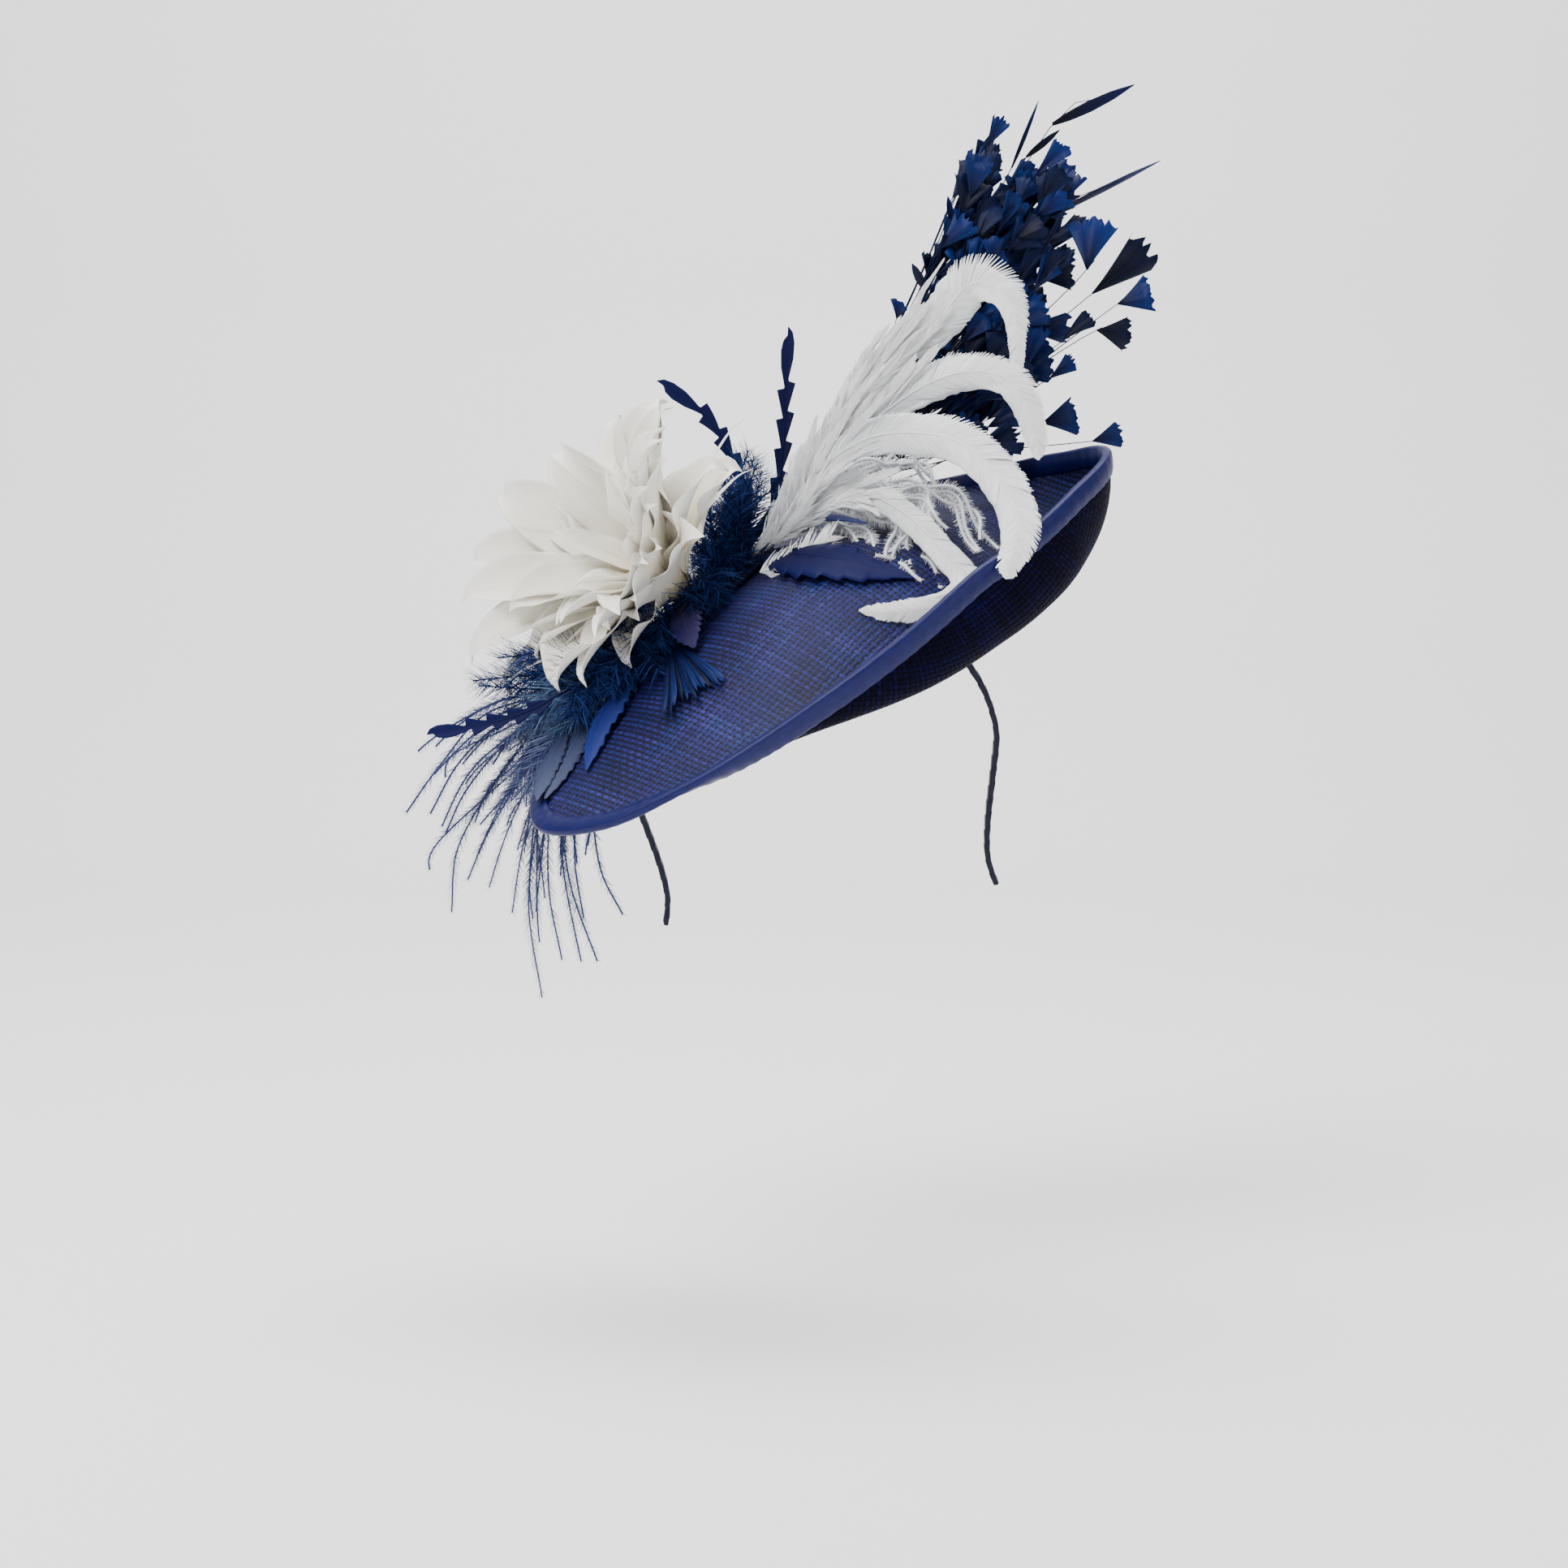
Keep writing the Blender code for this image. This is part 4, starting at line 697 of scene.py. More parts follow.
        shafts = add("GeometryNodeStoreNamedAttribute",
                     {"Geometry": shafts, "Name": "shade", "Value": self.SHAFT_TONE},
                     data_type="FLOAT", domain="POINT").outputs[0]
        both = add("GeometryNodeJoinGeometry")
        tree.links.new(flues, both.inputs[0])
        tree.links.new(shafts, both.inputs[0])
        whole = add("GeometryNodeRealizeInstances", {0: both.outputs[0]}).outputs[0]
        done = add("GeometryNodeSetMaterial", {"Geometry": whole, "Material": given["Material"]})
        add("NodeGroupOutput", {0: done.outputs[0]})
        return tree

    def grow(self, name: str, strands: Sequence[np.ndarray], flue: Flue,
             material: bpy.types.Material) -> bpy.types.Object:
        """Grow flues along strands and return them as a plain mesh.

        Args:
            name: The piece's name.
            strands: The points of each strand.
            flue: The flues' sizes.
            material: The finish.

        Returns:
            The mesh object.
        """
        curve = bpy.data.curves.new(name + "_strands", "CURVE")
        curve.dimensions = "3D"
        for strand in strands:
            spline = curve.splines.new("POLY")
            spline.points.add(len(strand) - 1)
            spline.points.foreach_set("co", np.hstack([strand, np.ones((len(strand), 1))]).ravel())
        carrier = bpy.data.objects.new(name + "_strands", curve)
        bpy.context.scene.collection.objects.link(carrier)
        modifier = carrier.modifiers.new("flues", "NODES")
        modifier.node_group = self.tree
        sizes = {"Length": flue.length, "Spacing": flue.spacing, "Width": flue.width,
                 "Angle": math.radians(flue.angle), "Spread": flue.spread, "Droop": flue.droop,
                 "Shaft": flue.shaft, "Seed": flue.seed, "Material": material}
        for item in self.tree.interface.items_tree:
            if item.in_out == "INPUT" and item.name in sizes:
                modifier[item.identifier] = sizes[item.name]
        bpy.context.view_layer.update()
        grown = carrier.evaluated_get(bpy.context.evaluated_depsgraph_get())
        mesh = bpy.data.meshes.new_from_object(grown)
        mesh.name = name
        bpy.data.objects.remove(carrier, do_unlink=True)
        piece = bpy.data.objects.new(name, mesh)
        bpy.context.scene.collection.objects.link(piece)
        return piece


# The saucer's form, which everything on it follows

@dataclass
class SaucerForm:
    """The saucer's underside: a domed floor that turns up into a wall at the front and the tip."""

    half_length: float = 0.150
    thick: float = 0.0016
    roll: float = 24.0
    tilt: float = 32.0
    yaw: float = 8.0
    dome_share: float = 0.62
    dome_rings: int = 12
    turn_rings: int = 26
    # Bearing in degrees from the tip, then shares of the half length: reach and rise of the
    # corner where the floor turns, reach and rise of the rim
    sections: tuple = (
        (8, 0.86, -0.44, 0.95, -0.09), (25, 0.85, -0.38, 0.89, -0.17), (45, 0.75, -0.30, 0.78, -0.21),
        (65, 0.64, -0.22, 0.69, -0.19), (90, 0.54, -0.15, 0.61, -0.15), (120, 0.50, -0.12, 0.59, -0.14),
        (150, 0.56, -0.12, 0.68, -0.15), (170, 0.66, -0.12, 0.79, -0.14), (187, 0.80, -0.12, 0.92, -0.13),
        (205, 0.92, -0.10, 1.06, -0.10), (218, 0.86, -0.09, 0.98, -0.09), (232, 0.76, -0.11, 0.82, -0.06),
        (247, 0.67, -0.15, 0.69, -0.03), (265, 0.62, -0.21, 0.61, 0.00), (290, 0.60, -0.30, 0.57, 0.02),
        (318, 0.63, -0.38, 0.60, 0.03), (335, 0.70, -0.42, 0.67, 0.00), (352, 0.80, -0.45, 0.80, -0.03),
    )
    mount_place: tuple[float, float] = (-0.42, 0.19)
    mount_turn: float = 30.0
    mount_length: float = 0.112
    mount_width: float = 0.030
    mount_top: float = 0.0040

    def __post_init__(self) -> None:
        """Work out the axes, and the centre from the plain solid's box."""
        roll, tilt, yaw = (math.radians(a) for a in (self.roll, self.tilt, self.yaw))
        u = np.array([math.cos(roll), -math.sin(roll) * math.sin(tilt), math.sin(roll) * math.cos(tilt)])
        v = np.array([0.0, math.cos(tilt), math.sin(tilt)])
        self.along = math.cos(yaw) * u + math.sin(yaw) * v
        self.across = math.cos(yaw) * v - math.sin(yaw) * u
        self.up = np.cross(self.along, self.across)
        self.centre = np.zeros(3)
        ring = np.array([self.at(bearing, self.section(bearing)[0][-1], self.section(bearing)[1][-1])
                         for bearing in np.arange(8.0, 368.0, 6.0)])
        low, high = (np.array(corner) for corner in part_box("sinamay_saucer"))
        self.centre = np.array([0.5 * (low[0] + high[0]) - 0.5 * (ring[:, 0].min() + ring[:, 0].max()),
                                0.5 * (low[1] + high[1]) - 0.5 * (ring[:, 1].min() + ring[:, 1].max()),
                                high[2] - ring[:, 2].max() - self.thick * 0.3])

    def column(self, bearing: float, number: int) -> float:
        """Read a column of the sections at a bearing, smoothly and closed at 360 degrees.

        Args:
            bearing: Degrees from the tip.
            number: The column.

        Returns:
            The value.
        """
        rows = self.sections
        count = len(rows)
        bearing = (bearing - rows[0][0]) % 360.0 + rows[0][0]
        places = [row[0] for row in rows] + [rows[0][0] + 360.0]
        i = max(k for k in range(count) if places[k] <= bearing)
        values = [rows[(i + k) % count][number] for k in (-1, 0, 1, 2)]
        turns = [rows[(i + k) % count][0] + 360.0 * ((i + k) // count) for k in (-1, 0, 1, 2)]
        span = turns[2] - turns[1]
        t = (bearing - turns[1]) / span
        start = (values[2] - values[0]) / (turns[2] - turns[0]) * span
        end = (values[3] - values[1]) / (turns[3] - turns[1]) * span
        return ((2 * t**3 - 3 * t**2 + 1) * values[1] + (t**3 - 2 * t**2 + t) * start
                + (3 * t**2 - 2 * t**3) * values[2] + (t**3 - t**2) * end)

    def section(self, bearing: float) -> tuple[np.ndarray, np.ndarray]:
        """Return the underside's reaches and rises at a bearing, from the centre to the rim.

        Args:
            bearing: Degrees from the tip.

        Returns:
            The reaches and the rises.
        """
        reach, fall, rim_reach, rim_rise = (self.column(bearing, k) * self.half_length for k in (1, 2, 3, 4))
        start = self.dome_share * reach
        bend = -fall / (start * start + 2.0 * start * (reach - start))
        floor = np.linspace(0.0, start, self.dome_rings + 1)
        t = np.linspace(0.0, 1.0, self.turn_rings + 1)[1:]
        reaches = (1 - t) ** 2 * start + 2 * t * (1 - t) * reach + t * t * rim_reach
        rises = (1 - t) ** 2 * -bend * start**2 + 2 * t * (1 - t) * fall + t * t * rim_rise
        return np.concatenate([floor, reaches]), np.concatenate([-bend * floor**2, rises])

    def at(self, bearing: float, reach: float, rise: float) -> np.ndarray:
        """Return the world point at a bearing, reach and rise."""
        angle = math.radians(bearing)
        way = self.along * math.cos(angle) + self.across * math.sin(angle)
        return self.centre + way * reach + self.up * rise

    def rise(self, a: float, b: float) -> float:
        """Return the underside's rise at metres along and across from the centre."""
        reaches, rises = self.section(math.degrees(math.atan2(b, a)))
        return float(np.interp(math.hypot(a, b), reaches, rises))

    def on_top(self, a: float, b: float, lift: float) -> np.ndarray:
        """Return the point at a lift over the top face.

        Args:
            a: Share of the half length along the saucer.
            b: Share of the half length across it.
            lift: Metres over the top face.

        Returns:
            The point.
        """
        a, b, step = a * self.half_length, b * self.half_length, 0.002
        slope_a = (self.rise(a + step, b) - self.rise(a - step, b)) / (2 * step)
        slope_b = (self.rise(a, b + step) - self.rise(a, b - step)) / (2 * step)
        normal = unit(self.up - self.along * slope_a - self.across * slope_b)
        return (self.centre + self.along * a + self.across * b + self.up * self.rise(a, b)
                + normal * (self.thick + lift))

    def on_mount(self, u: float, v: float, lift: float) -> np.ndarray:
        """Return the point at a lift over the spray mount; u and v are shares of its length and width."""
        turn = math.radians(self.mount_turn)
        length = self.mount_length / self.half_length
        width = self.mount_width / self.half_length
        a = self.mount_place[0] + u * length * math.cos(turn) - v * width * math.sin(turn)
        b = self.mount_place[1] + u * length * math.sin(turn) + v * width * math.cos(turn)
        return self.on_top(a, b, self.mount_top + lift)


@dataclass
class SinamaySaucer:
    """The woven saucer, with its cloth laid flat as its UV map."""

    form: SaucerForm
    bearings: int = 240

    def build(self) -> None:
        """Make the shell and give it its wall."""
        sheaf = Sheaf()
        rows = []
        flat = []
        for i in range(self.bearings):
            bearing = 360.0 * i / self.bearings
            angle = math.radians(bearing)
            reaches, rises = self.form.section(bearing)
            way = self.form.along * math.cos(angle) + self.form.across * math.sin(angle)
            rows.append(self.form.centre + way * reaches[:, None] + self.form.up * rises[:, None])
            run = np.concatenate([[0.0], np.cumsum(np.hypot(np.diff(reaches), np.diff(rises)))])
            flat.append(np.stack([run * math.cos(angle), run * math.sin(angle)], axis=1))
        points = np.array(rows)
        steps = points.shape[1]
        here = np.arange(self.bearings)[:, None] * steps
        after = np.roll(np.arange(self.bearings), -1)[:, None] * steps
        k = np.arange(steps - 1)[None, :]
        quads = np.stack([here + k, here + k + 1, after + k + 1, after + k], axis=2).reshape(-1, 4)
        tones = np.full(points.size // 3, 0.5)
        sheaf.add(points, quads, np.array(flat), tones, tones)
        piece = sheaf.build("woven_saucer", SINAMAY_FLOOR.make())
        # The outer face takes the darker copy of the weave: painted shade for the underside
        piece.data.materials.append(SINAMAY_PAINTED_SHADE.make())
        weld = piece.modifiers.new("weld", "WELD")
        weld.merge_threshold = 0.00001
        wall = piece.modifiers.new("wall", "SOLIDIFY")
        wall.thickness = self.form.thick
        wall.offset = 1.0
        wall.material_offset = 1
        settle(piece, "sinamay", "sinamay_saucer")


@dataclass
class BrimBinding:
    """The bias ribbon that is folded over the rim, a little puckered where it is stitched."""

    form: SaucerForm
    width: float = 0.0086
    thick: float = 0.0008
    gap: float = 0.0004
    pucker: float = 0.00018
    pucker_length: float = 0.007
    samples: int = 480

    def outline(self) -> np.ndarray:
        """Return the ribbon's closed section as (run, normal) pairs from the rim."""
        inner = self.gap
        outer = self.gap + self.thick
        top = self.form.thick
        rows = [(-self.width, -inner), (-0.5 * self.width, -inner), (self.gap, -inner),
                (self.gap, top + inner),
                (-0.5 * self.width, top + inner), (-self.width, top + inner),
                (-self.width, top + 0.6 * outer),
                (-0.92 * self.width, top + outer), (-0.5 * self.width, top + 1.1 * outer), (0.0, top + outer),
                (0.7 * outer, top + 0.45 * outer), (1.05 * outer, 0.5 * top), (0.7 * outer, -0.45 * outer),
                (0.0, -outer), (-0.5 * self.width, -1.1 * outer), (-0.92 * self.width, -outer),
                (-self.width, -0.6 * outer)]
        return np.array(rows)

    def build(self) -> None:
        """Sweep the section round the rim."""
        rims = []
        runs = []
        for i in range(self.samples):
            bearing = 360.0 * i / self.samples
            reaches, rises = self.form.section(bearing)
            rim = self.form.at(bearing, reaches[-1], rises[-1])
            inside = self.form.at(bearing, np.interp(0.93, np.linspace(0, 1, len(reaches)), reaches),
                                  np.interp(0.93, np.linspace(0, 1, len(rises)), rises))
            rims.append(rim)
            runs.append(rim - inside)
        rims = np.array(rims)
        runs = unit(np.array(runs))
        follow = np.roll(rims, -1, axis=0) - np.roll(rims, 1, axis=0)
        normals = unit(np.cross(runs, follow))
        length = run_lengths(rims)
        section = self.outline()
        ripple = self.pucker * np.sin(length * 2.0 * math.pi / self.pucker_length
                                      + 2.0 * np.sin(length * 90.0))
        swell = np.where(np.abs(section[:, 0]) > 0.4 * self.width, 1.0, 0.3)
        outer = np.arange(len(section)) >= 6
        offset = ripple[:, None] * (swell * outer * np.sign(section[:, 1] - 0.5 * self.form.thick))[None, :]
        points = (rims[:, None, :] + runs[:, None, :] * section[None, :, :1]
                  + normals[:, None, :] * (section[None, :, 1:] + offset[:, :, None]))
        across = run_lengths(section)
        uvs = np.stack(np.broadcast_arrays(across[None, :], length[:, None]), axis=2)
        sheaf = Sheaf()
        sheaf.add_loft(points, uvs, 0.5, closed=True)
        settle(sheaf.build("bias_binding", BINDING_SATIN.make()), "satin", "brim_binding")


@dataclass
class Headband:
    """The headband: a springy core that is wrapped on the slant with narrow satin ribbon."""

    half_span: float = 0.082
    crown_depth: float = 0.078
    leg_length: float = 0.076
    thick: float = 0.003
    width: float = 0.006
    roll: float = 7.0
    lean: float = 22.0
    wrap_pitch: float = 0.0075
    wrap_step: float = 0.00035
    samples: int = 420
    sides: int = 16
    # Share of the leg below the crown, share of the half span
    leg: tuple = ((0.22, 0.965), (0.50, 0.915), (0.70, 0.890), (0.84, 0.890), (1.00, 0.920))

    def middle_line(self) -> np.ndarray:
        """Return the band's middle line as (across, down) pairs, left end first."""
        angles = np.linspace(0.0, 0.5 * math.pi, 11)
        half = [(self.half_span * math.sin(a), self.crown_depth * (1.0 - math.cos(a))) for a in angles]
        half += [(self.half_span * span, self.crown_depth + self.leg_length * share) for share,
                 span in self.leg]
        inner = np.array([(-a, d) for a, d in reversed(half[1:])] + half)
        run = unit(np.gradient(inner, axis=0))
        return inner + np.stack([run[:, 1], -run[:, 0]], axis=1) * (0.5 * self.thick)

    def build(self) -> None:
        """Sweep a rounded section along the band, stepped where the ribbon overlaps."""
        roll, lean = math.radians(self.roll), math.radians(self.lean)
        right = np.array([math.cos(roll), 0.0, math.sin(roll)])
        down = np.array([math.sin(roll) * math.cos(lean), math.sin(lean), -math.cos(roll) * math.cos(lean)])
        front = np.cross(right, down)
        line = self.middle_line()
        path = smooth_path([right * a + down * d for a, d in line], self.samples)
        run = unit(np.gradient(path, axis=0))
        out = unit(np.cross(front, run))
        length = run_lengths(path)
        angle = 2.0 * math.pi * np.arange(self.sides) / self.sides
        square = np.maximum(np.abs(np.cos(angle)), np.abs(np.sin(angle)))
        round_x, round_y = np.cos(angle) / square**0.7, np.sin(angle) / square**0.7
        wrap = (length[:, None] / self.wrap_pitch + angle[None, :] / (2.0 * math.pi)) % 1.0
        ends = np.clip(np.minimum(length, length[-1] - length) / (0.5 * self.thick), 0.0, 1.0)[:, None]
        taper = np.sqrt(1.0 - (1.0 - ends) ** 2)
        half_w = (0.5 * self.width - self.wrap_step * wrap) * taper
        half_t = (0.5 * self.thick - self.wrap_step * wrap) * taper
        points = (path[:, None, :] + front[None, None, :] * (round_x[None, :] * half_w)[:, :, None]
                  + out[:, None, :] * (round_y[None, :] * half_t)[:, :, None])
        around = np.broadcast_to((angle * 0.5 * self.width / math.pi)[None, :], wrap.shape)
        uvs = np.stack([around, np.broadcast_to(length[:, None], wrap.shape)], axis=2)
        sheaf = Sheaf()
        sheaf.add_loft(points, uvs, 0.5)
        settle(sheaf.build("wrapped_headband", BAND_SATIN.make()), "band_ribbon", "headband")


# Vanes

class Outline(Enum):
    """The outlines of the feathers: share along the vane, share of its half width."""

    COQUE_DOWN = ((0.0, 0.75), (0.10, 1.00), (0.35, 0.85), (0.60, 0.80), (0.80, 0.60), (1.0, 0.40))
    COQUE_HOOK = ((0.0, 0.20), (0.08, 0.55), (0.20, 0.92), (0.36, 1.00), (0.50, 0.80), (0.62, 0.52),
                  (0.80, 0.34),
                  (0.93, 0.20), (1.0, 0.02))
    COQUE_CURL = ((0.0, 0.20), (0.08, 0.55), (0.20, 0.90), (0.34, 1.00), (0.52, 0.90), (0.72, 0.78),
                  (0.86, 0.58),
                  (0.94, 0.32), (1.0, 0.02))
    COQUE_LEAF = ((0.0, 0.20), (0.08, 0.50), (0.20, 0.85), (0.36, 1.00), (0.62, 0.98), (0.80, 0.88),
                  (0.90, 0.62),
                  (0.96, 0.32), (1.0, 0.02))
    LEAF = ((0.0, 0.30), (0.20, 0.80), (0.45, 1.00), (0.75, 0.75), (1.0, 0.08))
    PETAL = ((0.0, 0.22), (0.15, 0.50), (0.33, 0.86), (0.52, 1.00), (0.68, 0.88), (0.80, 0.62), (0.90, 0.30),
             (0.96, 0.12), (1.0, 0.02))
    SPIKE = ((0.0, 0.40), (0.30, 1.00), (0.70, 0.70), (1.0, 0.05))


@dataclass
class Vane:
    """A loose vane: a shaft and two rows of barbs that cling in clumps."""

    half_width: float
    outline: Table
    spacing: float = 0.0008
    barb_width: float = 0.0014
    angle: float = 38.0
    tip_angle: float = 20.0
    cup: float = 0.10
    sweep: float = 0.15
    clump: float = 9.0
    fray: float = 3.0
    lift: float = 0.04
    start: float = 0.0
    stop: float = 1.0
    shaft: float = 0.0006
    tilt: float = 12.0
    forward: float = 2.4
    jitter: float = 0.10
    steps: int = 4

    def grow(self, sheaf: Sheaf, points: Sequence[Sequence[float]], facing: Sequence[float],
             rng: np.random.Generator) -> None:
        """Add the feather's shaft and barbs to a sheaf.

        Args:
            sheaf: The sheaf that gets them.
            points: The points that the shaft passes.
            facing: The way the vane looks.
            rng: The source of its small differences.
        """
        path = smooth_path(points, 72)
        frames = (path, *frames_along(path, facing))
        length = np.linalg.norm(np.diff(path, axis=0), axis=1).sum()
        count = max(int(length * (self.stop - self.start) / self.spacing), 10)
        share = (np.arange(count) + 0.5) / count
        places = (self.start + (self.stop - self.start) * share) * (len(path) - 1)
        at, ahead, out, up = (np.stack([np.interp(places, np.arange(len(path)),
                                                  rows[:, axis]) for axis in range(3)],
                                       axis=1) for rows in frames)
        t = np.linspace(0.0, 1.0, self.steps + 1)[None, :, None]
        wide = read_table(self.outline, share) * self.half_width
        for hand in (-1.0, 1.0):
            group = np.cumsum(rng.random(count) < 1.0 / self.clump)
            swing = rng.normal(0.0, self.fray, group.max() + 1)[group] + rng.normal(0.0, 0.15 * self.fray,
                                                                                    count)
            rise = rng.normal(0.0, self.lift, group.max() + 1)[group]
            tone = 0.5 * rng.random(group.max() + 1)[group] + 0.5 * rng.random(count)
            angle = np.radians(np.clip(self.angle + (self.tip_angle - self.angle) * share + swing, 8.0, 85.0))
            reach = wide * rng.uniform(1.0 - self.jitter, 1.0 + self.jitter, count)
            forward = np.minimum(reach / np.tan(angle), self.forward * self.half_width)
            w, f = reach[:, None, None], forward[:, None, None]
            centre = (at[:, None, :] + hand * out[:, None, :] * w * t * (1.0 - 0.12 * t)
                      + ahead[:, None, :] * f * (t + self.sweep * t * t)
                      + up[:, None, :] * (self.cup * w * t * t + rise[:, None, None] * w * t))
            flat = ahead * np.sin(angle)[:, None] - hand * out * np.cos(angle)[:, None]
            lean = math.radians(self.tilt)
            flat = flat * math.cos(lean) + up * math.sin(lean)
            halves = flat[:, None, :] * (0.5 * self.barb_width * (1.0 - 0.8 * t**1.5))
            uvs = np.stack(np.broadcast_arrays(0.5 + 0.5 * hand * t[:, :, 0], share[:, None]), axis=2)
            sheaf.add_strips(centre, halves, uvs, tone, share * length)
        radii = self.shaft * (1.0 - 0.85 * np.linspace(0.0, 1.0, len(path)))
        sheaf.add_tube(path[::3], radii[::3], facing, 0.8)


@dataclass
class Blade:
    """A smooth vane or petal: a thin closed sheet, cupped along its shaft and waved at its edges."""

    half_width: float
    outline: Table
    cup: float = 0.25
    wave: float = 0.0
    waves: float = 2.5
    notch: float = 0.0
    angle: float = 35.0
    stagger: float = 0.0
    thick: float = 0.00025
    rows: int = 28
    columns: int = 6

    def grow(self, sheaf: Sheaf, points: Sequence[Sequence[float]], facing: Sequence[float],
             rng: np.random.Generator) -> None:
        """Add the sheet to a sheaf.

        Args:
            sheaf: The sheaf that gets it.
            points: The points that the shaft passes.
            facing: The way the hollow of the cup looks.
            rng: The source of its small differences.
        """
        path = smooth_path(points, self.rows)
        _, side, face = frames_along(path, facing)
        share = np.linspace(0.0, 1.0, self.rows)[:, None]
        across = np.linspace(-1.0, 1.0, 2 * self.columns + 1)[None, :]
        left = across < 0.0
        wide = np.where(left, read_table(self.outline, share + self.stagger), read_table(self.outline, share))
        wide = wide * self.half_width
        phase = rng.uniform(0.0, 2.0 * math.pi, 2)
        ripple = np.sin(2.0 * math.pi * self.waves * share + np.where(left, phase[0], phase[1]))
        ragged = rng.random((self.rows, 2))
        cut = 1.0 - self.notch * across**4 * np.where(left, ragged[:, :1], ragged[:, 1:])
        reach = wide * across * cut * (1.0 - 0.25 * min(abs(self.cup), 1.0) * across**2)
        rise = wide * (self.cup * across**2 + self.wave * np.abs(across) ** 3 * ripple)
        middle = path[:, None, :] + side[:, None, :] * reach[:, :, None] + face[:, None, :] * rise[:, :, None]
        offset = face[:, None, :] * (0.5 * self.thick)
        length = np.linalg.norm(np.diff(path, axis=0), axis=1).sum()
        barbs = share * length - np.abs(across) * wide / math.tan(math.radians(self.angle))
        uvs = np.stack(np.broadcast_arrays(0.5 + 0.5 * across, share), axis=2)
        sheaf.add_sheet(middle, offset, uvs, rng.random(), barbs)


@dataclass
class TrimmedFan:
    """A hackle tip that is trimmed to a fan: a thin closed sheet with a ragged cut end."""

    spokes: int = 17
    steps: int = 5
    thick: float = 0.0002
    ragged: float = 0.09

    def grow(self, sheaf: Sheaf, start: np.ndarray, end: np.ndarray, half: float, facing: Sequence[float],
             rng: np.random.Generator) -> None:
        """Add the fan to a sheaf.

        Args:
            sheaf: The sheaf that gets it.
            start: Its narrow end.
            end: The middle of its cut end.
            half: Half the width of its cut end.
            facing: The way it looks.
            rng: The source of its small differences.
        """
        run = unit(end - start)
        side = unit(np.cross(run, np.array(facing, dtype=float)))
        face = np.cross(side, run)
        length = float(np.linalg.norm(end - start))
        t = np.linspace(0.0, 1.0, self.steps)[:, None]
        across = np.linspace(-1.0, 1.0, self.spokes)[None, :]
        cut = 1.0 + 0.10 * (1.0 - across**2) + rng.uniform(-self.ragged, self.ragged, (1, self.spokes))
        ripple = np.sin(3.0 * across + rng.uniform(0.0, 6.28))
        rise = half * (rng.uniform(-0.5, 0.5) * t**2 + 0.16 * ripple * t)
        middle = (start + run * (length * t * cut)[:, :, None]
                  + side * (half * across * (0.03 + 0.97 * t**1.1))[:, :, None] + face * rise[:, :, None])
        offset = face * (0.5 * self.thick)
        uvs = np.stack(np.broadcast_arrays(0.5 + 0.5 * across, 0.1 + 0.9 * t), axis=2)
        barbs = np.broadcast_to(across * half + rng.uniform(0.0, 1.0), cut.shape).repeat(self.steps, axis=0)
        sheaf.add_sheet(middle, offset, uvs, rng.random(), barbs)


class Feather(NamedTuple):
    """One feather that stands on the spray mount."""

    node: str
    root: tuple[float, float]
    facing: Point
    half_width: float
    points: tuple[Point, ...]


SPRAY_REACH = 0.100
ROOT_LIFT = 0.0008


def from_root(root: np.ndarray, shares: Sequence[Point]) -> list[np.ndarray]:
    """Return a root and the points after it, given as shares of the spray's reach."""
    return [root] + [root + np.array(share) * SPRAY_REACH for share in shares]


